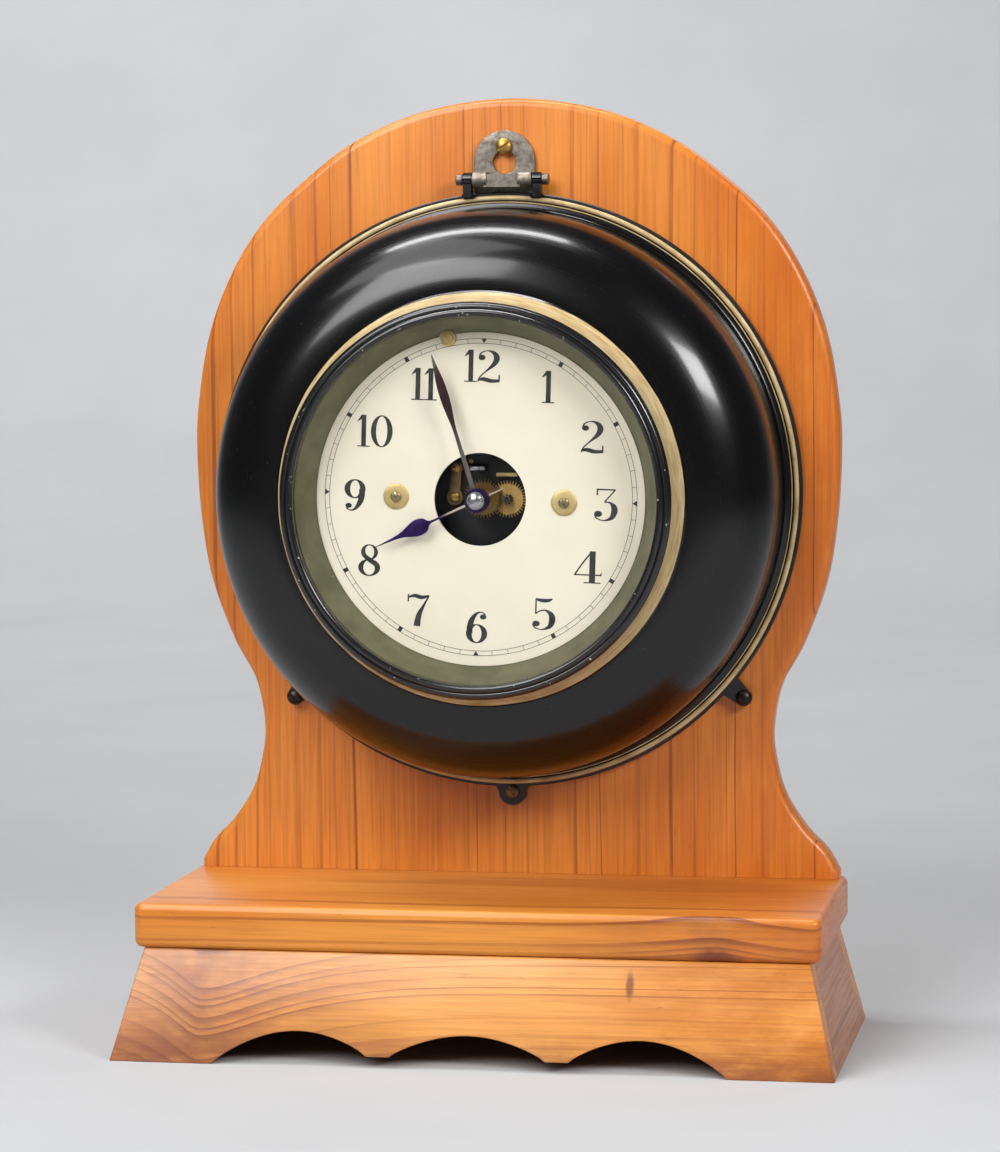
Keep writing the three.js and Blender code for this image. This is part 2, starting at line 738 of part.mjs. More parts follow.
function inset(points, thick) {
  return points.map(([r, u], i) => {
    const [r0, u0] = points[Math.max(i - 1, 0)];
    const [r1, u1] = points[Math.min(i + 1, points.length - 1)];
    const length = Math.hypot(r1 - r0, u1 - u0);
    return [r - ((u1 - u0) / length) * thick, u + ((r1 - r0) / length) * thick];
  });
}

const rim = [
  [RIM_R, rimU],
  [RIM_R + BEAD_R, beadU],
  [RIM_R, beadU + BEAD_R],
  [RIM_R - BEAD_R, beadU + BEAD_R * 0.2],
  [RIM_LINE_R, beadU + BEAD_R * 0.8],
];
const outside = caseBody();
const inside = inset(outside, SHEET).filter((p, i) => i % 3 === 1 || i > outside.length - 4);
inside[inside.length - 1][1] = LIP_U;
const flangeBack = [[WALL_R - SHEET, rimU + SHEET], [RIM_R - BEAD_R, rimU]];
addClock('case_shell', 'black', turned([...rim, ...outside, ...inside.reverse(), ...flangeBack]));

// Bezel, glass and reveal ring
const glassU = LIP_U + 2 * GLUE;
const glassTop = glassU + GLASS_T;
const bezelU = LIP_U + 2 * GLUE;
const seatR = BEZEL_IN_R + 2.8;
const bezelOut = LIP_R + 0.4;
const bezelTop = bezelU + BEZEL_H;
addClock('bezel', 'black', turned([
  [seatR, bezelU],
  [bezelOut, bezelU],
  [bezelOut, bezelU + BEZEL_H * 0.5],
  [bezelOut - 3, bezelTop],
  [BEZEL_IN_R + 2, bezelTop],
  [BEZEL_IN_R, bezelTop - BEZEL_H * 0.3],
  [BEZEL_IN_R, glassTop + 2 * GLUE],
  [seatR, glassTop + 2 * GLUE],
]));
const paneR = seatR - RUN;
addClock('glass', 'glass', turned([[0, glassU], [paneR, glassU], [paneR, glassTop], [0, glassTop]]));

const ringTop = LIP_U;
const ringFoot = DIAL_U + 0.7;
const ringFront = BEZEL_IN_R - 0.4;
const reveal = turned([
  [DIAL_SEEN_R, ringFoot],
  [ringFront, ringTop],
  [LIP_R - SHEET - 0.8, ringTop],
  [LIP_R - SHEET - 0.8, ringTop - 1.2],
  [ringFront + 1.1, ringTop - 1.2],
  [DIAL_SEEN_R + 1.5, ringFoot],
]);
const [edgeX, edgeZ] = clockwise(EDGE_SCREW_R, EDGE_SCREW_ANGLE);
const edgeHeadR = 4.2;
const notch = rod(edgeHeadR + 0.6, DIAL_U, DIAL_U + 5, edgeX, edgeZ);
addClock('reveal_ring', 'olive', cut(reveal, notch));

// Dial on its posts
const [screwX, screwZ] = clockwise(DIAL_SCREW_R, 90 + DIAL_TURN);
const dialShape = new THREE.Shape();
dialShape.absarc(0, 0, DIAL_R, 0, Math.PI * 2, false);
dialShape.holes.push(disc(DIAL_HOLE_R));
dialShape.holes.push(disc(1.9, screwX, screwZ));
dialShape.holes.push(disc(1.9, -screwX, -screwZ));
dialShape.holes.push(disc(1.7, edgeX, edgeZ));
addClock('dial', 'cream', plate(dialShape, DIAL_U - DIAL_T, DIAL_U, 22));

function dialPost(x, z, bore) {
  const top = DIAL_U - DIAL_T - GLUE;
  return turned(
    [[0, FLOOR_U], [POST_R, FLOOR_U], [POST_R, top], [bore, top], [bore, top - 9], [0, top - 9]],
    SCREW_SEG,
    x,
    z,
  );
}

function cupWasher(x, z) {
  const foot = DIAL_U + GLUE;
  return turned(
    [[1.9, foot], [6.6, foot], [6.6, foot + 0.7], [5.6, foot + 1.6], [3.6, foot + 1.1], [1.9, foot + 0.8]],
    SMALL_SEG,
    x,
    z,
  );
}

const dialSides = [['left', -screwX, -screwZ, 20], ['right', screwX, screwZ, 75]];
for (const [side, x, z, slot] of dialSides) {
  addClock(`dial_post_${side}`, 'brass', dialPost(x, z, 1.7));
  addClock(`dial_washer_${side}`, 'brass', cupWasher(x, z));
  addClock(`dial_screw_${side}`, 'brass', screw(x, z, 1.4, DIAL_U - 8, DIAL_U + 1.3, 2.7, 1.7, slot, 0.5));
}
addClock('dial_post_top', 'brass', dialPost(edgeX, edgeZ, 1.6));
const edgeScrew = screw(edgeX, edgeZ, 1.3, DIAL_U - 8, DIAL_U + GLUE, edgeHeadR, 1.6, 55, 0.4);
addClock('dial_edge_screw', 'brass', edgeScrew);

// Movement frame: two plates on four pillars
const [motionX, motionZ] = clockwise(MOTION_D, MOTION_ANGLE);
const motionDir = Math.atan2(motionZ, motionX);
const span = THIRD_D ** 2 - RATCHET_D ** 2;
const thirdZ = (RATCHET_Z ** 2 + span) / (2 * RATCHET_Z);
const thirdX = -Math.sqrt(THIRD_D ** 2 - thirdZ ** 2);
const pillarPlaces = [
  [-PILLAR_X, PILLAR_LOW],
  [PILLAR_X, PILLAR_LOW],
  [-PILLAR_X, PILLAR_HIGH],
  [PILLAR_X, PILLAR_HIGH],
];
const cockMid = (COCK_IN + COCK_OUT) / 2;
const cockScrews = [[-cockMid + RUN, COCK_LOW * -0.05], [-cockMid + COCK_SCREW_R, COCK_HIGH - 2 * COCK_T]];

function framePlate(u, holes) {
  const shape = roundedBox(-PLATE_HALF, PLATE_HALF, PLATE_LOW, PLATE_HIGH, 5);
  for (const [r, x, z] of holes) {
    shape.holes.push(disc(r, x, z));
  }
  return plate(shape, u, u + PLATE_T, 2);
}

const pivotHoles = [[PIVOT_R + RUN, thirdX, thirdZ], [PIVOT_R + RUN, 0, RATCHET_Z], [ARBOR_R + RUN, 0, 0]];
const neckHoles = pillarPlaces.map(([x, z]) => [PILLAR_NECK + RUN, x, z]);
const forkStudU = REAR_U - FORK_STUD;
addClock('movement_plate_rear', 'brass', join(
  framePlate(REAR_U, [...pivotHoles, ...neckHoles]),
  rod(ARBOR_R, forkStudU, REAR_U + PLATE_T / 2, 0, FORK_Z),
));
const motionU = FRONT_U + PLATE_T;
const cockHoles = cockScrews.map(([x, z]) => [COCK_SCREW_R + RUN, x, z]);
const motionStudTop = DIAL_U - DIAL_T - 3.9;
addClock('movement_plate_front', 'black', join(
  framePlate(FRONT_U, [...pivotHoles, ...cockHoles]),
  rod(ARBOR_R - RUN, FRONT_U + PLATE_T / 2, motionStudTop, motionX, motionZ),
));
pillarPlaces.forEach(([x, z], i) => {
  addClock(`pillar_${i + 1}`, 'brass', turned([
    [0, FLOOR_U],
    [PILLAR_R, FLOOR_U],
    [PILLAR_R, REAR_U - GLUE],
    [PILLAR_NECK, REAR_U - GLUE],
    [PILLAR_NECK, FRONT_U - GLUE],
    [0, FRONT_U - GLUE],
  ], SCREW_SEG, x, z));
});

// Cock, steel block and lever seen through the dial opening
const cockShape = roundedBox(-COCK_OUT, -COCK_IN, COCK_LOW, COCK_HIGH, COCK_T);
for (const [x, z] of cockScrews) {
  cockShape.holes.push(disc(COCK_SCREW_R + RUN, x, z));
}
const cockU = motionU + GLUE;
const cockTop = cockU + COCK_T;
addClock('motion_cock', 'brass', plate(cockShape, cockU, cockTop, 2));
cockScrews.forEach(([x, z], i) => {
  const name = i === 0 ? 'cock_screw_lower' : 'cock_screw_upper';
  const tip = FRONT_U + 0.4;
  const head = cockTop + GLUE;
  addClock(name, 'brass', screw(x, z, COCK_SCREW_R, tip, head, 2 * COCK_SCREW_R, 1.6, 30 + 60 * i, 0.4));
});
const steelIn = 0.6 - STEEL_BLOCK_W;
const steelTop = STEEL_BLOCK_Z + STEEL_BLOCK_H;
addClock('steel_block', 'steel', block(steelIn, 0.6, cockU, cockU + 4.6, STEEL_BLOCK_Z, steelTop));
const leverEnd = LEVER_X + LEVER_L;
addClock('brass_lever', 'brass', block(LEVER_X, leverEnd, cockU, cockU + 3, LEVER_Z, LEVER_Z + LEVER_H));

// Motion work: cannon pinion drives the minute wheel, its star pinion drives the hour wheel
const motionModule = (2 * MOTION_D) / (CANNON_T + MINUTE_T);
const hourModule = (2 * MOTION_D) / (MINUTE_PINION_T + HOUR_T);
const cannonU = motionU + 3;
const cannonR = 2.9;
const minuteTop = MINUTE_U + HAND_T + GLUE;
const collarTop = minuteTop + 1.2;
const pinionTop = cannonU + 3.4;
addClock('cannon_pinion', 'steel', join(
  plate(gearShape(CANNON_T, motionModule, motionDir, ARBOR_R + RUN, false), cannonU, pinionTop),
  tube(ARBOR_R + RUN, cannonR, pinionTop - 0.5, collarTop - GLUE),
));
const minuteWheelU = cannonU + 0.8;
const toCentre = motionDir + Math.PI;
const minuteBack = toCentre + Math.PI / MINUTE_T;
const starU = minuteWheelU + 1.6;
const minuteWheel = join(
  plate(gearShape(MINUTE_T, motionModule, minuteBack, 1.5, true), minuteWheelU, minuteWheelU + 1.6, 4),
  plate(gearShape(MINUTE_PINION_T, hourModule, toCentre, 1.5, false), starU - 0.5, starU + 5.4, 4),
);
addClock('minute_wheel', 'brass', minuteWheel.translate(motionX, 0, motionZ));
const hourWheelU = starU + 2.6;
const pipeIn = cannonR + RUN + 0.1;
const pipeR = pipeIn + 1;
const hourDir = motionDir + Math.PI / HOUR_T;
addClock('hour_wheel', 'brass', join(
  plate(gearShape(HOUR_T, hourModule, hourDir, pipeIn, true), hourWheelU, hourWheelU + 1.6),
  tube(pipeIn, pipeR, hourWheelU + 0.5, HOUR_U + HAND_T + RUN),
));

// Going train behind the front plate
const centreModule = (2 * THIRD_D) / (CENTRE_T + THIRD_PINION_T);
const thirdModule = (2 * RATCHET_D) / (THIRD_T + RATCHET_PINION_T);
const thirdDir = Math.atan2(thirdZ, thirdX);
const ratchetDir = Math.atan2(RATCHET_Z - thirdZ, -thirdX);
const centreU = FRONT_U - 10;
const thirdU = centreU - 6;
const nutU = collarTop + GLUE;
const nutH = 4.6;
addClock('centre_arbor', 'brass', join(
  rod(ARBOR_R, REAR_U - 1, nutU + nutH * 0.5),
  plate(gearShape(CENTRE_T, centreModule, thirdDir, 0, true), centreU, centreU + 1.8),
));
const thirdLeaf = thirdDir + Math.PI + Math.PI / THIRD_PINION_T;
const thirdTooth = ratchetDir + Math.PI / THIRD_T;
const thirdPinion = plate(
  gearShape(THIRD_PINION_T, centreModule, thirdLeaf, 0, false),
  centreU - 1,
  centreU + 3,
);
const thirdGear = plate(gearShape(THIRD_T, thirdModule, thirdTooth, 0, true), thirdU, thirdU + 1.6);
const thirdShaft = rod(PIVOT_R, REAR_U + 0.4, FRONT_U + PLATE_T - 0.4);
addClock('third_wheel', 'brass', join(thirdShaft, thirdPinion, thirdGear).translate(thirdX, 0, thirdZ));

function ratchetShape() {
  const points = [];
  for (let i = 0; i < RATCHET_T; i += 1) {
    const a = (Math.PI * 2 * i) / RATCHET_T;
    const b = a + ((Math.PI * 2) / RATCHET_T) * 0.85;
    points.push([RATCHET_R * Math.cos(a), RATCHET_R * Math.sin(a)]);
    points.push([(RATCHET_R - 0.9) * Math.cos(b), (RATCHET_R - 0.9) * Math.sin(b)]);
  }
  return outline(points);
}

const ratchetU = REAR_U - 6;
addClock('ratchet_wheel', 'brass', join(
  rod(PIVOT_R, ratchetU - 1, FRONT_U + PLATE_T - 0.4),
  plate(ratchetShape(), ratchetU, ratchetU + 1.6),
  plate(gearShape(RATCHET_PINION_T, thirdModule, ratchetDir + Math.PI, 0, false), thirdU - 1.4, thirdU + 3),
).translate(0, 0, RATCHET_Z));

// Contact fork: slot astride the pendulum pin above, pawl arm down to the ratchet
const pawlTip = RATCHET_Z + RATCHET_R + 0.7;
const forkShape = outline([
  [-1.4, pawlTip],
  [1.4, pawlTip],
  [1.7, FORK_Z - 3.8],
  [3.8, FORK_Z - 1.6],
  [3.8, FORK_Z + 1.6],
  [2.2, FORK_Z + 3.6],
  [2.2, FORK_PIN_Z - 8],
  [4.2, FORK_PIN_Z - 6],
  [4.2, FORK_PIN_Z + 4],
  [1.6, FORK_PIN_Z + 4],
  [1.6, FORK_PIN_Z - 4],
  [-1.6, FORK_PIN_Z - 4],
  [-1.6, FORK_PIN_Z + 4],
  [-4.2, FORK_PIN_Z + 4],
  [-4.2, FORK_PIN_Z - 6],
  [-2.2, FORK_PIN_Z - 8],
  [-2.2, FORK_Z + 3.6],
  [-3.8, FORK_Z + 1.6],
  [-3.8, FORK_Z - 1.6],
  [-1.7, FORK_Z - 3.8],
]);
forkShape.holes.push(disc(ARBOR_R + RUN, 0, FORK_Z));
const forkU = ratchetU - 0.4;
addClock('contact_fork', 'brass', plate(forkShape, forkU, forkU + 2.4, 4));

// Hands, drawn pointing up and then turned to their place
function handShape(side, tail, hubR, boreR) {
  const right = side.map(([w, r]) => [w, r]);
  const left = side.map(([w, r]) => [-w, r]).reverse();
  const points = [];
  const hubStart = Math.asin(right[0][0] / hubR);
  const tailHalf = tail.length > 0 ? tail[0][0] : 0;
  const hubEnd = Math.PI - (tailHalf > 0 ? Math.asin(tailHalf / hubR) : 0);
  const steps = 8;
  const arc = [];
  for (let i = 0; i <= steps; i += 1) {
    const a = hubStart + ((hubEnd - hubStart) * i) / steps;
    arc.push([hubR * Math.sin(a), hubR * Math.cos(a)]);
  }
  points.push(...right.reverse());
  points.push(...arc);
  points.push(...tail);
  points.push(...tail.map(([w, r]) => [-w, r]).reverse());
  const back = arc.map(([x, z]) => [-x, z]).reverse();
  points.push(...(tailHalf > 0 ? back : back.slice(1)));
  points.push(...left.reverse());
  const shape = outline(points);
  shape.holes.push(disc(boreR));
  return shape;
}

function hand(shape, u, degrees) {
  return plate(shape, u, u + HAND_T, 6).rotateY(THREE.MathUtils.degToRad(degrees));
}

const hourSide = [
  [0.8, 9],
  [0.8, 27],
  [1.6, 30],
  [3.6, 33],
  [4.2, 35.5],
  [3.7, 38.5],
  [2.2, 42],
  [0.9, 46],
  [0.2, 59.5],
];
const hourTail = [[0.8, -9], [0.25, -15]];
addClock('hour_hand', 'blued', hand(handShape(hourSide, hourTail, 6.2, pipeR + RUN), HOUR_U, HOUR_ANGLE));
const minuteSide = [[0.8, 9], [0.7, 38], [1.2, 43], [2.1, 50], [2.5, 57], [2.1, 64], [1.2, 71], [0.2, 78.5]];
addClock('minute_hand', 'blued', hand(handShape(minuteSide, [], 5.4, cannonR + RUN), MINUTE_U, MINUTE_ANGLE));
addClock('minute_collet', 'blued', tube(cannonR + RUN, 6.4, minuteTop, collarTop, 0, 0, MID_SEG));

const nutR = 4.7;
const nutBore = ARBOR_R + RUN;
const nutDeep = nutU + nutH * 0.6;
const nutLoop = [[0, nutDeep], [nutBore, nutDeep], [nutBore, nutU], [nutR, nutU], [nutR, nutU + nutH * 0.3]];
for (let i = 1; i <= 3; i += 1) {
  const a = (Math.PI / 2) * (i / 3);
  nutLoop.push([i < 3 ? nutR * Math.cos(a) : 0, nutU + nutH * (0.3 + 0.7 * Math.sin(a))]);
}
const nutSlot = block(-0.5, 0.5, nutU + nutH * 0.82, nutU + nutH * 1.1, -nutR, nutR);
nutSlot.rotateY(THREE.MathUtils.degToRad(HOUR_ANGLE));
addClock('centre_nut', 'steel', cut(turned(nutLoop, COIL_SEG), nutSlot));

// Pendulum: flat rod on a suspension pin, coil astride the magnet
const suspendU = PENDULUM_U - ROD_T / 2;
addClock('suspension_block', 'brass', join(
  block(-9, 9, FLOOR_U, FLOOR_U + 3, PENDULUM_Z - 8, PENDULUM_Z + 16),
  block(-4, 4, FLOOR_U + 2, PENDULUM_U + 4.5, PENDULUM_Z + 6, PENDULUM_Z + 12),
  block(-4, 4, PENDULUM_U + 2.4, PENDULUM_U + 4.5, PENDULUM_Z - 3, PENDULUM_Z + 8),
  rod(1.6, PENDULUM_U - 4, PENDULUM_U + 3, 0, PENDULUM_Z),
));

const coilZ = PENDULUM_Z - PENDULUM_L;
const shoeZ = coilZ + COIL_R + GLUE * 2;
const rodShape = new THREE.Shape();
rodShape.moveTo(-COIL_HALF, shoeZ);
rodShape.lineTo(COIL_HALF, shoeZ);
rodShape.lineTo(COIL_HALF, shoeZ + 2);
rodShape.lineTo(2.2, shoeZ + 6);
rodShape.lineTo(2.2, PENDULUM_Z - 4);
rodShape.absarc(0, PENDULUM_Z, 4.4, -Math.PI / 3, Math.PI * (4 / 3), false);
rodShape.lineTo(-2.2, PENDULUM_Z - 4);
rodShape.lineTo(-2.2, shoeZ + 6);
rodShape.lineTo(-COIL_HALF, shoeZ + 2);
rodShape.closePath();
rodShape.holes.push(disc(2, 0, PENDULUM_Z));
addClock('pendulum_rod', 'steel', join(
  plate(rodShape, suspendU, suspendU + ROD_T, 8),
  rod(1, suspendU + ROD_T / 2, forkU + 3.6, 0, FORK_PIN_Z),
));
addClock('pendulum_coil', 'copper', turnedX([
  [COIL_BORE, -COIL_HALF],
  [COIL_R, -COIL_HALF],
  [COIL_R, -COIL_HALF + 2],
  [COIL_R - 1.6, -COIL_HALF + 2],
  [COIL_R - 1.6, COIL_HALF - 2],
  [COIL_R, COIL_HALF - 2],
  [COIL_R, COIL_HALF],
  [COIL_BORE, COIL_HALF],
], COIL_SEG, PENDULUM_U, coilZ));

function magnetBar(r) {
  const points = [];
  for (let i = 0; i <= 12; i += 1) {
    const a = THREE.MathUtils.degToRad(-MAGNET_REACH + (2 * MAGNET_REACH * i) / 12);
    const x = PENDULUM_L * Math.sin(a);
    points.push(new THREE.Vector3(x, -PENDULUM_U, PENDULUM_Z - PENDULUM_L * Math.cos(a)));
  }
  const section = new THREE.Shape();
  section.absarc(0, 0, r, 0, Math.PI * 2, false);
  const path = new THREE.CatmullRomCurve3(points);
  return new THREE.ExtrudeGeometry(section, { steps: 11, extrudePath: path, curveSegments: 5 });
}

addClock('magnet', 'magnet', magnetBar(MAGNET_R));
const [holdX, holdDrop] = clockwise(PENDULUM_L, MAGNET_REACH - 2);
const holdZ = PENDULUM_Z - holdDrop;
const holdHalf = MAGNET_R + 3.5;
for (const [side, sign] of [['left', -1], ['right', 1]]) {
  const x0 = sign * holdX - 6;
  const clamp = block(x0, x0 + 12, FLOOR_U, PENDULUM_U + holdHalf, holdZ - holdHalf - 3, holdZ + holdHalf);
  addClock(`magnet_bracket_${side}`, 'brass', cut(clamp, magnetBar(MAGNET_R + RUN)));
}

// Battery upright in a spring clip at the right
const cellU = FLOOR_U + CELL_R + 2.4;
const cellPoints = [[0, 0], [CELL_R, 0], [CELL_R, CELL_L - 3], [4, CELL_L - 3], [4, CELL_L], [0, CELL_L]];
const cell = new THREE.LatheGeometry(cellPoints.map(([r, h]) => new THREE.Vector2(r, h)), MID_SEG);
addClock('battery', 'paper', cell.rotateX(Math.PI / 2).translate(CELL_X, -cellU, -CELL_L / 2));
const clipShape = new THREE.Shape();
const clipIn = CELL_R + 0.5;
const clipOut = CELL_R + 2;
const clipFrom = THREE.MathUtils.degToRad(-50);
const clipTo = THREE.MathUtils.degToRad(230);
clipShape.absarc(CELL_X, -cellU, clipOut, clipFrom, clipTo, false);
clipShape.absarc(CELL_X, -cellU, clipIn, clipTo, clipFrom, true);
clipShape.closePath();
const clip = new THREE.ExtrudeGeometry(clipShape, { depth: CLIP_H, bevelEnabled: false, curveSegments: 10 });
addClock('battery_clip', 'steel', clip.translate(0, 0, -CLIP_H * 0.6));

export default group;
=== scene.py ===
import math
from math import cos, pi, radians, sin

import bmesh
import bpy
from mathutils import Matrix, Vector


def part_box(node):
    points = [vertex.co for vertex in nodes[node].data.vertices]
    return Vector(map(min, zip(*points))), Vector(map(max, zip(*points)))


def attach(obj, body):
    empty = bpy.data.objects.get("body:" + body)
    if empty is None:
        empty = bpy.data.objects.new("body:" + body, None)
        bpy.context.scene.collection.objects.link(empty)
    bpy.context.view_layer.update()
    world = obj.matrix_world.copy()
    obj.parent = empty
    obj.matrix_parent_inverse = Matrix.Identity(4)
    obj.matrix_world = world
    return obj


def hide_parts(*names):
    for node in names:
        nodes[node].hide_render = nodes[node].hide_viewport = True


# Battery pendulum wall clock on a wooden stand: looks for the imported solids.
# Lengths in the helpers are millimetres about the clock's axis:
# x right, z up, u forward from the board's face.

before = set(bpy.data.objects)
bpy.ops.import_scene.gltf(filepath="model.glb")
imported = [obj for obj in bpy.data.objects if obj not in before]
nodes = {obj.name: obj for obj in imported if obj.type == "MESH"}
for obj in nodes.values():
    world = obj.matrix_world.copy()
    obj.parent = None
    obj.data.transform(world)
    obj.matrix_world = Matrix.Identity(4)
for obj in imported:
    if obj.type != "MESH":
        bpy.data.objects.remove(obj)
scene = bpy.context.scene
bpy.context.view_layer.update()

MM = 0.001
X, Y, Z = range(3)

# Lowest and highest corner of a solid in millimetres
def corners(name):
    return [[round(v / MM, 2) for v in corner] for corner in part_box(name)]

# The clock's axis is the dial's, and the board's front face is where u starts
dial_low, dial_high = corners("dial")
board_low, board_high = corners("backboard")
AXIS_X = round((dial_low[X] + dial_high[X]) / 2, 2)
AXIS_Z = round((dial_low[Z] + dial_high[Z]) / 2, 2)
BOARD_Y = board_low[Y]
DIAL_U = BOARD_Y - dial_low[Y]
DIAL_TURN = 2.0
HOUR_ANGLE = 245.6
MINUTE_ANGLE = 342.9

UPRIGHT = Matrix.Scale(MM, 4) @ Matrix.Rotation(pi / 2, 4, "X")
TO_FRAME = Matrix.Translation(Vector((AXIS_X, BOARD_Y, AXIS_Z)) * MM) @ UPRIGHT

# Axis, rear and front of a solid in the clock's millimetres
def spot_of(name):
    low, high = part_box(name)
    x = (low.x + high.x) / 2 / MM - AXIS_X
    z = (low.z + high.z) / 2 / MM - AXIS_Z
    return x, z, BOARD_Y - high.y / MM, BOARD_Y - low.y / MM

# Colour for a socket: a tuple holds the usual 0 to 255 values
def linear(colour):
    if not isinstance(colour, tuple):
        return colour
    shares = [v / 255 for v in colour]
    return [s / 12.92 if s <= 0.04045 else ((s + 0.055) / 1.055) ** 2.4 for s in shares] + [1.0]

def grey(value):
    return [value] * 3 + [1.0]

# A material with short ways to add nodes
class Finish:
    def __init__(self, name, **values):
        self.material = bpy.data.materials.new(name)
        self.material.use_nodes = True
        self.tree = self.material.node_tree
        self.shader = self.tree.nodes["Principled BSDF"]
        for key, value in values.items():
            self.shader.inputs[key.replace("_", " ")].default_value = value
        self.place = self.tree.nodes.new("ShaderNodeTexCoord").outputs["Object"]

    def feed(self, socket, value):
        if isinstance(value, bpy.types.NodeSocket):
            self.tree.links.new(value, socket)
        else:
            socket.default_value = value

    def node(self, kind, inputs, **settings):
        made = self.tree.nodes.new("ShaderNode" + kind)
        for key, value in settings.items():
            setattr(made, key, value)
        for key, value in inputs.items():
            self.feed(made.inputs[key], value)
        return made

    def math(self, operation, a, b=0.0):
        return self.node("Math", {0: a, 1: b}, operation=operation).outputs[0]

    def add(self, a, b):
        return self.math("ADD", a, b)

    def sub(self, a, b):
        return self.math("SUBTRACT", a, b)

    def mul(self, a, b):
        return self.math("MULTIPLY", a, b)

    def square(self, a):
        return self.math("POWER", a, 2.0)

    def length(self, a, b):
        return self.math("SQRT", self.add(self.square(a), self.square(b)))

    def axes(self):
        return self.node("SeparateXYZ", {0: self.place}).outputs

    def stretched(self, scale, shift=(0.0, 0.0, 0.0)):
        return self.node("Mapping", {"Vector": self.place, "Scale": scale, "Location": shift}).outputs[0]

    def noise(self, vector, scale=1.0, detail=3.0, roughness=0.55):
        inputs = {"Vector": vector, "Scale": scale, "Detail": detail, "Roughness": roughness}
        return self.node("TexNoise", inputs).outputs[0]

    def noise_line(self, value, scale):
        inputs = {"W": value, "Scale": scale, "Detail": 2.0}
        return self.node("TexNoise", inputs, noise_dimensions="1D").outputs[0]

    def step(self, value, low, high, to_low=0.0, to_high=1.0):
        inputs = {0: value, 1: low, 2: high, 3: to_low, 4: to_high}
        return self.node("MapRange", inputs, interpolation_type="SMOOTHSTEP").outputs[0]

    # 1 from the end of the rise to the start of the fall, 0 outside both
    def between(self, value, rise, fall):
        return self.mul(self.step(value, *rise), self.step(value, *fall))

    def ramp(self, value, stops):
        made = self.node("ValToRGB", {0: value})
        ramp = made.color_ramp
        while len(ramp.elements) < len(stops):
            ramp.elements.new(0.5)
        for element, (place, colour) in zip(ramp.elements, stops):
            element.position = place
            element.color = linear(colour)
        return made.outputs[0]

    def blend(self, amount, a, b):
        return self.node("Mix", {0: amount, 6: linear(a), 7: linear(b)}, data_type="RGBA").outputs[2]

    # Metres to the right of the clock's axis and above it
    def aside(self):
        x, _, z = self.axes()
        return self.sub(x, AXIS_X * MM), self.sub(z, AXIS_Z * MM)

    # Millimetres from the clock's axis
    def radius(self):
        return self.mul(self.length(*self.aside()), 1 / MM)

    # Millimetres from the clock's axis along a clock direction
    def along(self, degrees):
        x, z = self.aside()
        a = radians(degrees)
        return self.add(self.mul(x, sin(a) / MM), self.mul(z, cos(a) / MM))

    # Millimetres forward from the board
    def forward(self):
        y = self.axes()[Y]
        return self.sub(BOARD_Y, self.mul(y, 1 / MM))

    def colour(self, value):
        self.feed(self.shader.inputs["Base Color"], value)

    def rough(self, value):
        self.feed(self.shader.inputs["Roughness"], value)

    # Brushed in circles about the clock's direction
    def brushed(self):
        ring = self.node("Tangent", {}, direction_type="RADIAL", axis="Y").outputs[0]
        self.feed(self.shader.inputs["Tangent"], ring)

    def bump(self, height, strength, distance):
        inputs = {"Height": height, "Strength": strength, "Distance": distance}
        self.feed(self.shader.inputs["Normal"], self.node("Bump", inputs).outputs[0])

# Noise in the wood: scale across and along, detail, roughness, shares of the seed that shift it
WOOD_NOISE = {
    "wander": (9.0, 2.2, 2.0, 0.55, (1, 2, 3)),
    "dash": (260.0, 14.0, 2.0, 0.55, (1, 0, 0)),
    "fibre": (620.0, 16.0, 3.0, 0.6, (1, 1, 0)),
    "patch": (16.0, 5.0, 3.0, 0.55, (0, 1, 1)),
    "blotch": (70.0, 24.0, 4.0, 0.65, (1, 0, 0)),
    "fleck": (900.0, 90.0, 1.0, 0.55, (1, 0, 1)),
}
RING_WANDER = 0.009
RING_DRIFT = 3.2
SWIRL_CUSP = 0.08
SWIRL_DEPTH = 0.006

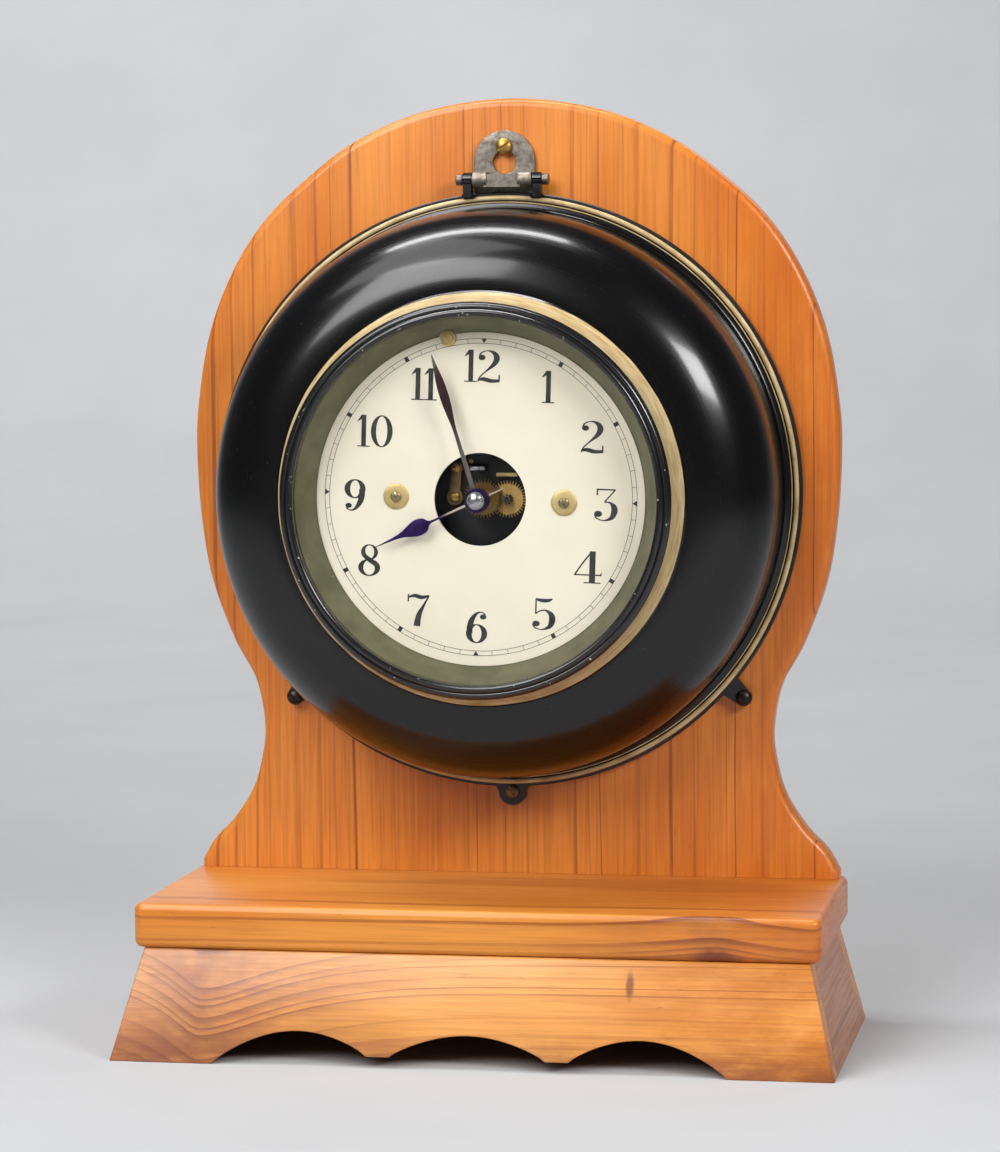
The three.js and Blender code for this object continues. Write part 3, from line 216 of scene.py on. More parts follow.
# Softwood with its grain along one axis, in metres
class Timber(Finish):
    def __init__(self, name, grain, seed):
        super().__init__(name, Coat_Weight=0.12, Coat_Roughness=0.16, Specular_IOR_Level=0.4)
        self.grain = grain
        self.seed = seed
        self.xyz = list(self.axes())

    def streaks(self, kind):
        across, length, detail, roughness, shares = WOOD_NOISE[kind]
        scale = [across] * 3
        scale[self.grain] = length
        moved = self.stretched(scale, [self.seed * share for share in shares])
        return self.noise(moved, 1.0, detail, roughness)

    # Strength of a swirl: fades along the grain both ways, and behind the face
    def swirl(self, at, left, right, deep):
        offset = self.sub(self.xyz[self.grain], at)
        ahead = self.math("DIVIDE", self.math("MAXIMUM", offset, 0.0), right)
        behind = self.math("DIVIDE", self.math("MINIMUM", offset, 0.0), -left)
        square = self.square(self.add(ahead, behind))
        reach = self.math("SQRT", self.add(square, SWIRL_CUSP))
        fall = self.math("POWER", math.e, self.mul(reach, -1.0))
        face = self.step(self.xyz[Y], deep, deep + SWIRL_DEPTH, 1.0, 0.0)
        return self.mul(fall, face)

    # Growth rings counted out from the pith line, pushed aside by a swirl
    def years(self, pith, spacing, fall, drop):
        across, up = [self.xyz[i] for i in range(3) if i != self.grain]
        p = self.sub(up, pith[1])
        q = self.sub(across, pith[0])
        if fall is not None:
            p = self.add(p, self.mul(fall, drop))
        ring = self.length(p, q)
        wander = self.sub(self.streaks("wander"), 0.5)
        ring = self.add(ring, self.mul(wander, RING_WANDER))
        uneven = self.mul(self.noise_line(ring, 0.3 / spacing), RING_DRIFT)
        return self.add(self.math("DIVIDE", ring, spacing), uneven)

    # Strength of a ragged oval mark
    def mark(self, centre, radii, amount):
        ragged = self.mul(self.noise(self.place, 160.0, 3.0), 0.7)
        total = 0.0
        for place, c, r in zip(self.xyz, centre, radii):
            share = self.math("DIVIDE", self.sub(place, c), r)
            total = self.add(self.square(share), total)
        reach = self.add(self.math("SQRT", total), ragged)
        return self.step(reach, 0.75, 1.5, amount, 0.0)

FLECK = (96, 44, 18)
KNOT = (104, 34, 18)
SCAR = (92, 40, 20)
SWIRL_STAIN = (118, 66, 52)
SWIRL_BAND = (104, 52, 36)

# Lacquered softwood: growth rings, fibres, flecks, and marks where a piece has them
def wood(name, grain, seed, pith, spacing, line, tones, fades=(), swirl=None, knot=None, scar=None):
    pale, warm, late = tones
    f = Timber(name, grain, seed)
    fall = None
    drop = 0.0
    if swirl:
        at, left, right, drop, deep, stained = swirl
        fall = f.swirl(at, left, right, deep)
    turns = f.years(pith, spacing, fall, drop)
    saw = f.math("FRACT", turns)
    year = f.node("TexWhiteNoise", {"W": f.math("FLOOR", turns)}, noise_dimensions="1D").outputs[0]
    thin = 1.0 - line / spacing
    early = [(0.0, 0.0), (thin * 0.75, 0.02), (thin - 0.02, 0.12)]
    stops = early + [(thin + 0.02, 1.0), (0.985, 1.0), (1.0, 0.0)]
    grown = f.ramp(saw, [(place, grey(value)) for place, value in stops])
    broken = f.step(f.streaks("dash"), 0.3, 0.65, 0.5, 1.0)
    strength = f.mul(f.step(year, 0.1, 0.95, 0.2, 0.95), broken)
    dark = f.mul(grown, strength)
    fibre = f.streaks("fibre")
    ground = f.blend(f.step(f.streaks("patch"), 0.3, 0.72), pale, warm)
    blotch = f.step(f.streaks("blotch"), 0.3, 0.62, 0.35, 1.0)
    for axis, start, end, shade, amount in fades:
        amount = f.mul(f.step(f.xyz[axis], start, end, 0.0, amount), blotch)
        ground = f.blend(amount, ground, shade)
    ground = f.blend(f.step(fibre, 0.35, 0.75, 0.0, 0.30), ground, late)
    tone = f.blend(f.mul(dark, 0.86), ground, late)
    tone = f.blend(f.step(f.streaks("fleck"), 0.72, 0.8, 0.0, 0.35), tone, FLECK)
    for mark, shade, amount in ((knot, KNOT, 0.85), (scar, SCAR, 0.7)):
        if mark:
            tone = f.blend(f.mark(*mark, amount), tone, shade)
    if swirl:
        cloud = f.step(f.noise(f.place, 45.0, 4.0), 0.35, 0.65, 0.1, stained)
        tone = f.blend(f.mul(fall, cloud), tone, SWIRL_STAIN)
        bands = f.step(saw, 0.3, 0.95, 0.0, 0.8)
        tone = f.blend(f.mul(fall, bands), tone, SWIRL_BAND)
    f.colour(tone)
    f.rough(f.step(fibre, 0.2, 0.8, 0.28, 0.42))
    f.bump(f.add(fibre, f.mul(dark, -0.8)), 0.10, 0.0004)
    return f.material

# Early wood, its warm patches and the late wood of each piece
BOARD_TONES = ((222, 139, 54), (200, 109, 30), (120, 46, 15))
SHELF_TONES = ((222, 144, 56), (202, 118, 36), (140, 64, 20))
APRON_TONES = ((232, 165, 88), (214, 139, 60), (128, 58, 28))
SIDE_TONES = ((184, 118, 72), (164, 96, 52), (108, 52, 28))

wood_board = wood(
    "wood_board", Z, 3.1, (-0.36, 0.24), 0.0090, 0.0010, BOARD_TONES,
    fades=[(X, 0.02, 0.17, (192, 94, 24), 0.6)],
)
wood_shelf = wood(
    "wood_shelf", X, 7.7, (0.03, -0.21), 0.0056, 0.0009, SHELF_TONES,
    fades=[(X, 0.0, 0.18, (188, 94, 26), 0.7)],
    swirl=(0.126, 0.05, 0.03, -0.010, -0.066, 0.45),
    knot=((0.126, -0.067, 0.057), (0.014, 0.006, 0.006)),
)
wood_apron = wood(
    "wood_apron", X, 1.9, (-0.12, -0.26), 0.0072, 0.0010, APRON_TONES,
    fades=[
        (X, 0.0, 0.16, (192, 111, 32), 0.9),
        (X, -0.05, -0.15, (160, 94, 60), 0.6),
        # Darker towards the bottom edge
        (Z, 0.024, 0.0, (112, 60, 38), 0.75),
    ],
    swirl=(-0.140, 0.026, 0.055, 0.036, 0.0, 0.7),
    scar=((0.082, -0.072, 0.044), (0.0025, 0.01, 0.008)),
)
wood_side = wood("wood_side", Y, 5.3, (0.1, -0.3), 0.009, 0.0012, SIDE_TONES)

# Where the gilt of the case starts and ends, in millimetres
GILT_BAND_U = (80.9, 81.5)
GILT_BAND_R = (112.0, 110.0)
GILT_BEAD_R = (155.0, 155.25)
# The thin line in the groove behind the bead is gilt, and partly a painted highlight on the groove's edge
GILT_AND_HIGHLIGHT_IN = (153.65, 153.8)
GILT_AND_HIGHLIGHT_OUT = (154.4, 154.25)

# Black spun case with painted gold lines, one of them partly a painted highlight, fine turning marks and dust
def case_paint():
    f = Finish("case_paint", Coat_Weight=0.34, Coat_Roughness=0.11, Specular_IOR_Level=0.3)
    r = f.radius()
    turning = f.noise_line(r, 2.6)
    dust = f.step(f.noise(f.place, 900.0, 1.0), 0.75, 0.81, 0.0, 0.25)
    black = f.blend(f.noise(f.place, 22.0, 4.0), (3, 3, 4), (8, 8, 9))
    black = f.blend(dust, black, (120, 118, 112))
    brush = f.mul(f.sub(f.noise(f.place, 30.0, 4.0), 0.5), 1.6)
    edge = f.add(f.forward(), brush)
    band = f.mul(f.step(edge, *GILT_BAND_U), f.step(r, *GILT_BAND_R))
    ragged = f.add(r, f.mul(brush, 0.2))
    bead = f.step(ragged, *GILT_BEAD_R)
    # Thin line in the groove: gilt, and partly a painted highlight
    line = f.between(ragged, GILT_AND_HIGHLIGHT_IN, GILT_AND_HIGHLIGHT_OUT)
    gilt = f.math("MAXIMUM", band, f.math("MAXIMUM", bead, line))
    streak = f.noise(f.stretched((70.0, 500.0, 70.0)), 1.0, 4.0)
    golds = [(0.25, (148, 120, 76)), (0.5, (192, 167, 120)), (0.75, (210, 193, 153))]
    f.colour(f.blend(gilt, black, f.ramp(streak, golds)))
    f.rough(f.blend(gilt, f.step(turning, 0.2, 0.8, 0.18, 0.28), grey(0.42)))
    f.bump(turning, 0.05, 0.0003)
    return f.material

# Black bezel, worn to bright metal in small chips along its edges
def bezel_paint():
    f = Finish("bezel_paint", Roughness=0.24, Coat_Weight=0.3, Coat_Roughness=0.1)
    r = f.radius()
    outer = f.between(r, (99.3, 100.2), (102.0, 101.0))
    inner = f.between(r, (95.2, 95.8), (97.2, 96.4))
    chips = f.step(f.noise(f.place, 230.0, 3.0, 0.7), 0.66, 0.70)
    worn = f.mul(f.math("MAXIMUM", outer, inner), chips)
    black = f.blend(f.noise(f.place, 40.0, 3.0), (9, 9, 10), (22, 22, 23))
    f.colour(f.blend(worn, black, (176, 172, 162)))
    f.bump(f.sub(f.noise(f.place, 300.0, 2.0), worn), 0.08, 0.0003)
    return f.material

# Plain paint, mottled and in places specked
def paint(name, low, high, rough, scale=30.0, speck=None, bump=0.03):
    f = Finish(name, Roughness=rough)
    cloud = f.noise(f.place, scale, 5.0, 0.6)
    tone = f.blend(f.step(cloud, 0.3, 0.7), low, high)
    if speck:
        spots = f.step(f.noise(f.place, 420.0, 1.0), 0.74, 0.79, 0.0, 0.5)
        tone = f.blend(spots, tone, speck)
    f.colour(tone)
    f.bump(f.noise(f.place, scale * 22, 3.0), bump, 0.0002)
    return f.material

# Metal with streaks and tarnish, where it has them another shade beyond a height, and pale zones
# along a hand, painted highlights, on the minute hand also bare steel: start, full, last and end in
# millimetres
def metal(name, bright, dull, rough, scale=60.0, tarnish=0.6, grain=(1.0, 1.0, 1.0), top=None, hand=None,
          brushed=0.0, marks=0.06):
    f = Finish(name, Metallic=1.0, Anisotropic=brushed)
    if brushed:
        f.brushed()
    cloud = f.noise(f.place, scale, 5.0, 0.62)
    lines = f.noise(f.stretched([g * 900.0 for g in grain]), 1.0, 2.0)
    tone = f.blend(f.step(cloud, 0.35, 0.75, 0.0, tarnish), bright, dull)
    if top:
        height, shade = top
        tone = f.blend(f.step(f.forward(), height - 0.1, height + 0.1), tone, shade)
    if hand:
        degrees, shade, *zones = hand
        run = f.along(degrees)
        # Pale zones along the hand: painted highlights
        for start, full, last, end in zones:
            tone = f.blend(f.between(run, (start, full), (end, last)), tone, shade)
    f.colour(tone)
    f.rough(f.step(f.add(lines, cloud), 0.6, 1.4, rough, rough + 0.22))
    f.bump(lines, marks, 0.0002)
    return f.material

def clear_pane():
    f = Finish("clear_pane", Alpha=0.03)
    smear = f.noise(f.place, 18.0, 4.0)
    f.colour(f.blend(smear, (18, 22, 20), (34, 40, 36)))
    f.rough(f.step(smear, 0.3, 0.8, 0.02, 0.07))
    return f.material

# Enamelled wire in close turns about the x direction
def winding():
    f = Finish("winding", Metallic=0.4)
    turns = f.math("SINE", f.mul(f.axes()[X], 9000.0))
    cloud = f.noise(f.place, 90.0, 3.0)
    f.colour(f.blend(cloud, (92, 36, 16), (140, 66, 30)))
    f.rough(f.step(cloud, 0.2, 0.8, 0.3, 0.5))
    f.bump(turns, 0.4, 0.0003)
    return f.material

STAR_TOP_U = 67.6
TURNED_GRAIN = (1.0, 0.05, 1.0)
SMOOTH_GRAIN = (0.1, 0.1, 0.1)
mat_case = case_paint()
mat_bezel = bezel_paint()
mat_glass = clear_pane()
mat_winding = winding()
mat_black = paint("black_enamel", (12, 12, 12), (26, 26, 26), 0.38, 40.0, (90, 88, 84))
mat_gloss = paint("black_gloss", (6, 6, 7), (14, 14, 15), 0.14, 90.0, (70, 68, 64))
mat_cream = paint("dial_cream", (228, 220, 196), (236, 229, 208), 0.62, 12.0, bump=0.02)
mat_olive = paint("reveal_olive", (84, 84, 58), (104, 102, 74), 0.42, 60.0, (150, 150, 120))
mat_ink = paint("dial_ink", (26, 26, 27), (56, 56, 56), 0.55, 120.0)
mat_red = paint("magnet_red", (118, 30, 24), (142, 42, 32), 0.45, 60.0)
mat_paper = paint("cell_wrap", (46, 64, 92), (60, 82, 112), 0.6, 25.0)
mat_brass = metal("brass_satin", (205, 168, 96), (138, 98, 46), 0.26)
mat_brass_pale = metal("brass_pale", (214, 194, 138), (182, 158, 102), 0.5, 160.0, 0.5)
mat_gear = metal("brass_wheel", (178, 146, 92), (106, 84, 52), 0.3, 140.0, 0.6, TURNED_GRAIN, brushed=0.8)
mat_motion = metal("brass_motion", (206, 170, 104), (124, 94, 54), 0.3, 140.0, 0.6, TURNED_GRAIN,
                   top=(STAR_TOP_U, (128, 122, 114)), brushed=0.8)
# Brown brass: the cock's own colour; on the bottom lug screw it is painted shade
mat_brown_brass_and_shade = metal("brass_brown_and_shade", (140, 116, 84), (86, 70, 52), 0.36, 160.0, 0.9)
mat_nut = metal("smooth_steel", (182, 184, 190), (140, 140, 146), 0.2, 40.0, 0.3, SMOOTH_GRAIN, marks=0.01)
mat_steel = metal("bright_steel", (196, 198, 202), (140, 142, 146), 0.18, 80.0, 0.35)
mat_grey = metal("cast_grey", (150, 142, 132), (96, 88, 78), 0.44, 300.0, 0.9)
mat_dark = metal("dark_steel", (70, 62, 56), (34, 30, 28), 0.34, 200.0, 0.9)
mat_pin = metal("pin_steel", (132, 124, 114), (78, 72, 66), 0.36, 260.0, 0.9)
mat_blued = metal("blued_purple", (66, 52, 96), (38, 31, 56), 0.24, 120.0, 0.8)
mat_screw = metal("screw_grey", (176, 158, 120), (108, 94, 70), 0.3, 200.0, 0.8)
# Pale zones on the hour hand's tail and stem: painted highlights
hour_highlights = (HOUR_ANGLE, (206, 192, 174), (-5.8, -7.2, -29.0, -30.0), (6.4, 7.6, 13.0, 23.0))
# Pale zones on the minute hand's stem and tip: bare steel, and painted highlights on it
minute_steel_and_highlights = (MINUTE_ANGLE, (128, 121, 118), (66.0, 76.0, 90.0, 91.0), (1.0, 4.0, 22.0, 46.0))
mat_hour = metal("blued_hour", (66, 46, 104), (36, 26, 58), 0.3, 160.0, 0.9, hand=hour_highlights)
mat_browned = metal("blued_brown", (86, 66, 66), (48, 36, 40), 0.26, 120.0, 0.8, hand=minute_steel_and_highlights)

SHARP = 34.0
WOOD_SHARP = 40.0
WELD = 2e-7

# Mesh from points (x, z, u) in the clock's millimetres and faces
def shape(name, points, faces, material, sharp=SHARP):
    mesh = bpy.data.meshes.new(name)
    mesh.from_pydata(points, [], faces)
    mesh.transform(TO_FRAME)
    return dress(name, mesh, material, sharp)

# Piece from a mesh in the frame's metres, smooth except at real edges
def dress(name, mesh, material, sharp=SHARP):
    edit = bmesh.new()
    edit.from_mesh(mesh)
    bmesh.ops.remove_doubles(edit, verts=edit.verts, dist=WELD)
    bmesh.ops.recalc_face_normals(edit, faces=edit.faces)
    edit.to_mesh(mesh)
    edit.free()
    mesh.polygons.foreach_set("use_smooth", [True] * len(mesh.polygons))
    mesh.set_sharp_from_angle(angle=radians(sharp))
    mesh.materials.clear()
    mesh.materials.append(material)
    piece = bpy.data.objects.new(name, mesh)
    scene.collection.objects.link(piece)
    return piece

def settle(piece, body, slot, *stands_for):
    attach(piece, body)
    if stands_for:
        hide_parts(*stands_for)

# Profile of (r, u) turned about an axis: solid if it starts there, else closed on itself
def ring_points(profile, steps, x, z):
    points = [(x + a, z + b, u) for r, u in profile for a, b in circle(r, steps=steps)]
    faces = []
    for k in range(len(profile) - (profile[0][0] == 0)):
        low, high = k * steps, (k + 1) % len(profile) * steps
        for i in range(steps):
            j = (i + 1) % steps
            faces.append((low + i, low + j, high + j, high + i))
    return points, faces

def lathe(name, profile, material, steps=160, x=0.0, z=0.0, sharp=SHARP):
    points, faces = ring_points(profile, steps, x, z)
    return shape(name, points, faces, material, sharp)

# Profile of (r, x) turned about an axis to the right
def lathe_x(name, profile, material, u, z, steps):
    points, faces = ring_points(profile, steps, 0.0, 0.0)
    return shape(name, [(along, z + b, u + a) for a, b, along in points], faces, material)

# Flat piece from closed outlines (the later ones are holes), with rounded edges
def slab_mesh(name, loops, low, high, edge=0.0, steps=3):
    curve = bpy.data.curves.new(name, "CURVE")
    curve.dimensions = "2D"
    curve.fill_mode = "BOTH"
    curve.extrude = (high - low) / 2 - edge
    curve.bevel_depth = edge
    curve.bevel_resolution = steps
    curve.offset = -edge
    for loop in loops:
        spline = curve.splines.new("POLY")
        spline.points.add(len(loop) - 1)
        for point, (x, z) in zip(spline.points, loop):
            point.co = (x, z, 0.0, 1.0)
        spline.use_cyclic_u = True
    carrier = bpy.data.objects.new(name, curve)
    scene.collection.objects.link(carrier)
    graph = bpy.context.evaluated_depsgraph_get()
    mesh = bpy.data.meshes.new_from_object(carrier.evaluated_get(graph))
    bpy.data.objects.remove(carrier)
    bpy.data.curves.remove(curve)
    mesh.transform(Matrix.Translation((0, 0, (low + high) / 2)))
    return mesh

# Clockwise turn about the axis, then a move aside
def turned(degrees, x=0.0, z=0.0):
    return Matrix.Translation((x, z, 0)) @ Matrix.Rotation(-radians(degrees), 4, "Z")

def slab(name, loops, low, high, material, edge=0.0, steps=3, degrees=0.0, sharp=SHARP):
    mesh = slab_mesh(name, loops, low, high, edge, steps)
    mesh.transform(TO_FRAME @ turned(degrees))
    return dress(name, mesh, material, sharp)

# Separate flat meshes as one piece
def merged(name, meshes, material):
    edit = bmesh.new()
    for mesh in meshes:
        edit.from_mesh(mesh)
        bpy.data.meshes.remove(mesh)
    whole = bpy.data.meshes.new(name)
    edit.to_mesh(whole)
    edit.free()
    whole.transform(TO_FRAME)
    return dress(name, whole, material)

# One piece cut by, or joined with, others
def combine(piece, tools, operation="DIFFERENCE"):
    for tool in tools:
        change = piece.modifiers.new("combine", "BOOLEAN")
        change.operation = operation
        change.solver = "EXACT"
        change.object = tool
    graph = bpy.context.evaluated_depsgraph_get()
    mesh = bpy.data.meshes.new_from_object(piece.evaluated_get(graph))
    material = piece.data.materials[0]
    name = piece.name
    for gone in [piece, *tools]:
        bpy.data.objects.remove(gone)
    return dress(name, mesh, material, 30.0)

# Box that cuts or joins, turned clockwise about (x, z)
def block(name, x0, x1, u0, u1, z0, z1, degrees=0.0, x=0.0, z=0.0):
    place = turned(degrees, x, z)
    base = [(x0, z0), (x1, z0), (x1, z1), (x0, z1)]
    points = [place @ Vector((*corner, u)) for u in (u0, u1) for corner in base]
    faces = [(3, 2, 1, 0), (4, 5, 6, 7), (0, 1, 5, 4), (1, 2, 6, 5), (2, 3, 7, 6), (3, 0, 4, 7)]
    return shape(name, points, faces, mat_steel)

# Line about (x, z) from one angle to another, oval where it has a second radius
def arc(r, x, z, start, end, steps, rz=0.0):
    turn = [radians(start + (end - start) * i / steps) for i in range(steps + 1)]
    return [(x + r * cos(a), z + (rz or r) * sin(a)) for a in turn]

def circle(r, x=0.0, z=0.0, steps=48, rz=0.0):
    return arc(r, x, z, 0, 360, steps, rz)[:-1]

# Place at a clock direction, 0 degrees up and 90 to the right
def clockwise(r, degrees):
    a = radians(degrees)
    return r * sin(a), r * cos(a)

# Smooth open line through points
def spline(points, steps):
    last = len(points) - 1
    line = []
    for i in range(last):
        four = [points[min(max(i + k, 0), last)] for k in (-1, 0, 1, 2)]
        for s in range(steps):
            t = s / steps
            place = []
            for a, b, c, d in zip(*four):
                square = (2 * a - 5 * b + 4 * c - d) * t ** 2
                cube = (3 * b - a - 3 * c + d) * t ** 3
                place.append(0.5 * (2 * b + (c - a) * t + square + cube))
            line.append(tuple(place))
    return line + [points[-1]]

# Stand
shelf_low, shelf_high = corners("shelf")
apron_low, apron_high = corners("front_apron")
PLINTH_HALF = apron_high[X]
PLINTH_FRONT = -apron_low[Y]
PLINTH_H = apron_high[Z]
SPLAY_SIDE = 14.0
SPLAY_FRONT = 20.0
PANEL_T = 18.0
SHELF_TOP = shelf_high[Z]
SHELF_CORNER = 5.0
BOARD_TOP = board_high[Z]
BOARD_HALF = 175.7
BOARD_SUNK = 14.0
SEAM = 0.1
BOARD_SIDE = [
    (0.266, 0.9855), (0.49, 0.947), (0.657, 0.895), (0.78, 0.845), (0.882, 0.779), (0.956, 0.699),
    (0.993, 0.61), (1.0, 0.545), (0.9875, 0.459), (0.956, 0.38), (0.888, 0.302), (0.8215, 0.25),
    (0.796, 0.2), (0.798, 0.16), (0.83, 0.108), (0.894, 0.065), (0.957, 0.037), (0.9965, 0.009),
]
FOOT_W = 54.0
CUSP_W = 12.0
CUSP_Z = 5.6
ARCH_TOP = 17.0
ARCH_FULL = 0.8
ARCH_STEPS = 32

# Cuts a mesh flat at a height and closes it
def flat_foot(mesh, height):
    edit = bmesh.new()
    edit.from_mesh(mesh)
    bmesh.ops.remove_doubles(edit, verts=edit.verts, dist=1e-7)
    geometry = [*edit.verts, *edit.edges, *edit.faces]
    place = (0, 0, height)
    below = bmesh.ops.bisect_plane(edit, geom=geometry, plane_co=place, plane_no=(0, 0, -1), clear_outer=True)
    rim = [e for e in below["geom_cut"] if isinstance(e, bmesh.types.BMEdge)]
    bmesh.ops.holes_fill(edit, edges=rim)
    edit.to_mesh(mesh)
    edit.free()

# Backboard: one side, mirrored, in shares of its half width and of its height above the shelf
def backboard():
    rise = BOARD_TOP - SHELF_TOP
    side = [(w * BOARD_HALF, SHELF_TOP + h * rise) for w, h in BOARD_SIDE]
    left = [(-x, z) for x, z in reversed(side)]
    around = spline(left + [(0.0, BOARD_TOP)] + side, 7)
    foot = side[-1][0]
    below = SHELF_TOP - BOARD_SUNK
    loop = [(-foot, below)] + around + [(foot, below)]
    mesh = slab_mesh("backboard_wood", [loop], -board_high[Y], -board_low[Y], 4.4, 5)
    mesh.transform(UPRIGHT)
    flat_foot(mesh, (SHELF_TOP + SEAM) * MM)
    return dress("backboard_wood", mesh, wood_board, WOOD_SHARP)

def shelf():
    r = SHELF_CORNER
    left, right = shelf_low[X] + r, shelf_high[X] - r
    front, back = shelf_low[Y] + r, shelf_high[Y] - r
    loop = []
    for x, y, start in ((right, back, 0), (left, back, 90), (left, front, 180), (right, front, 270)):
        loop += arc(r, x, y, start, start + 90, 6)
    mesh = slab_mesh("shelf_wood", [loop], shelf_low[Z], SHELF_TOP, 3.8, 5)
    mesh.transform(Matrix.Scale(MM, 4))
    return dress("shelf_wood", mesh, wood_shelf, WOOD_SHARP)

# Apron with three arches, leaning back
def apron():
    half = PLINTH_HALF
    inner = half - FOOT_W
    span = (2 * inner - 2 * CUSP_W) / 3
    arches = [
        (-inner, 0.0, -inner + span, CUSP_Z),
        (-span / 2, CUSP_Z, span / 2, CUSP_Z),
        (inner - span, CUSP_Z, inner, 0.0),
    ]
    loop = [(-half, 0.0)]
    for x0, z0, x1, z1 in arches:
        rise = ARCH_TOP - (z0 + z1) / 2
        for i in range(ARCH_STEPS + 1):
            t = i / ARCH_STEPS
            bow = max(sin(pi * t), 0.0) ** ARCH_FULL
            loop.append((x0 + (x1 - x0) * t, z0 + (z1 - z0) * t + rise * bow))
    loop += [(half, 0.0), (half - SPLAY_SIDE, PLINTH_H), (-half + SPLAY_SIDE, PLINTH_H)]
    mesh = slab_mesh("apron_wood", [loop], PLINTH_FRONT - PANEL_T, PLINTH_FRONT, 0.8, 2)
    mesh.transform(UPRIGHT)
    for vertex in mesh.vertices:
        vertex.co.y += vertex.co.z * SPLAY_FRONT / PLINTH_H
    return dress("apron_wood", mesh, wood_apron, WOOD_SHARP)

settle(backboard(), "stand", "wood", "backboard")
settle(shelf(), "stand", "wood", "shelf")
settle(apron(), "stand", "wood", "front_apron")

# Case, bezel, glass and reveal ring
WALL_R = 150.0
RIM_R = 156.3
BEAD_R = 1.4
RIM_U = 5.5
TORUS_U = 40.0
BAND_R = 108.0
BAND_U = 80.0
SHEET = 1.8
FLANGE = [
    (154.7, 7.25), (154.45, 7.7), (154.1, 8.0), (153.7, 7.9), (153.4, 7.6), (151.6, 8.0), (150.6, 8.7),
    (150.2, 9.6), (WALL_R, 11.0), (WALL_R, 20.0), (WALL_R, 31.0),
]
NECK = [(BAND_R, BAND_U), (105.6, 83.1), (103.4, 88.6), (101.9, 95.6)]
NECK_INSIDE = [(100.2, 95.6), (101.6, 88.2), (104.6, 80.6)]

def case_shell():
    wide, tall = WALL_R - BAND_R, BAND_U - TORUS_U
    outside = arc(BEAD_R, RIM_R, RIM_U + BEAD_R, -90, 162, 14) + FLANGE
    outside += arc(wide, BAND_R, TORUS_U, 0, 90, 48, tall) + spline(NECK, 6)[1:]
    inside = arc(wide - 0.3, BAND_R - 1.5, TORUS_U, 90, 0, 16, tall - SHEET)
    inside += [(WALL_R - SHEET, RIM_U + SHEET), (RIM_R - BEAD_R, RIM_U)]
    return lathe("case_spun", outside + NECK_INSIDE + inside, mat_case, 224, sharp=38.0)

bezel_profile = [
    (97.6, 95.8), (102.2, 95.8), (102.35, 97.2), (102.0, 98.6), (101.2, 99.7), (100.1, 100.3), (99.2, 100.2),
    (98.9, 99.9), (98.6, 100.2), (98.2, 100.9), (97.4, 101.4), (96.4, 101.4), (95.5, 101.0), (94.95, 100.2),
    (94.8, 99.2), (94.8, 98.25), (97.6, 98.25),
]
glass_profile = [(0, 95.85), (97.0, 95.85), (97.2, 96.1), (97.2, 97.7), (97.0, 97.95), (0, 97.95)]
reveal_profile = [
    (86.4, 80.7), (86.9, 80.75), (94.2, 95.0), (94.7, 95.6), (99.2, 95.6), (99.2, 94.5), (95.6, 94.5),
    (88.0, 80.7),
]
settle(case_shell(), "cover", "black", "case_shell")
settle(lathe("bezel_ring", bezel_profile, mat_bezel, 224, sharp=50.0), "cover", "black", "bezel")
settle(lathe("glass_pane", glass_profile, mat_glass, 128), "cover", "glass", "glass")

# Places of the dial's screws
screw_x, screw_z = clockwise(44.2, 90 + DIAL_TURN)
edge_x, edge_z = clockwise(84.9, -10.7)

# Reveal ring, notched round the screw at the dial's edge
def reveal_ring():
    ring = lathe("reveal_cone", reveal_profile, mat_olive, 192)
    notch = lathe("notch", [(0, 79), (4.9, 79), (4.9, 85), (0, 85)], mat_olive, 32, edge_x, edge_z)
    return combine(ring, [notch])

settle(reveal_ring(), "cover", "olive", "reveal_ring")

DIAL_T = 1.6
dial_loops = [circle(92.0, steps=160), circle(24.1, steps=120)]
for x, z, r in ((screw_x, screw_z, 1.9), (-screw_x, -screw_z, 1.9), (edge_x, edge_z, 1.7)):
    dial_loops.append(circle(r, x, z, 20))
dial_plate = slab("dial_plate", dial_loops, DIAL_U - DIAL_T, DIAL_U, mat_cream, 0.12, 1, sharp=10.0)
settle(dial_plate, "stand", "cream", "dial")

# Half of a pen stroke's width, across and up the figure
PEN_ACROSS = 0.43
PEN_UP = 0.46

# Dial figures: thick and thin pen strokes in a box one unit high
def pen(points, widths):
    line = spline([(x, y, w) for (x, y), w in zip(points, widths)], 7)
    left, right = [], []
    for i, (x, y, w) in enumerate(line):
        x0, y0, _ = line[max(i - 1, 0)]
        x1, y1, _ = line[min(i + 1, len(line) - 1)]
        length = math.hypot(x1 - x0, y1 - y0) or 1.0
        nx = -(y1 - y0) / length * w * PEN_ACROSS
        ny = (x1 - x0) / length * w * PEN_UP
        left.append((x + nx, y + ny))
        right.append((x - nx, y - ny))
    return [left + right[::-1]]

def ball(x, y, r):
    return [circle(r, x, y, 18)]

def oval(x, y, rx, ry, in_x, in_y):
    return [circle(rx, x, y, 36, ry), circle(in_x, x, y, 36, in_y)]

def bar(x0, x1, y0, y1):
    return [[(x0, y0), (x1, y0), (x1, y1), (x0, y1)]]

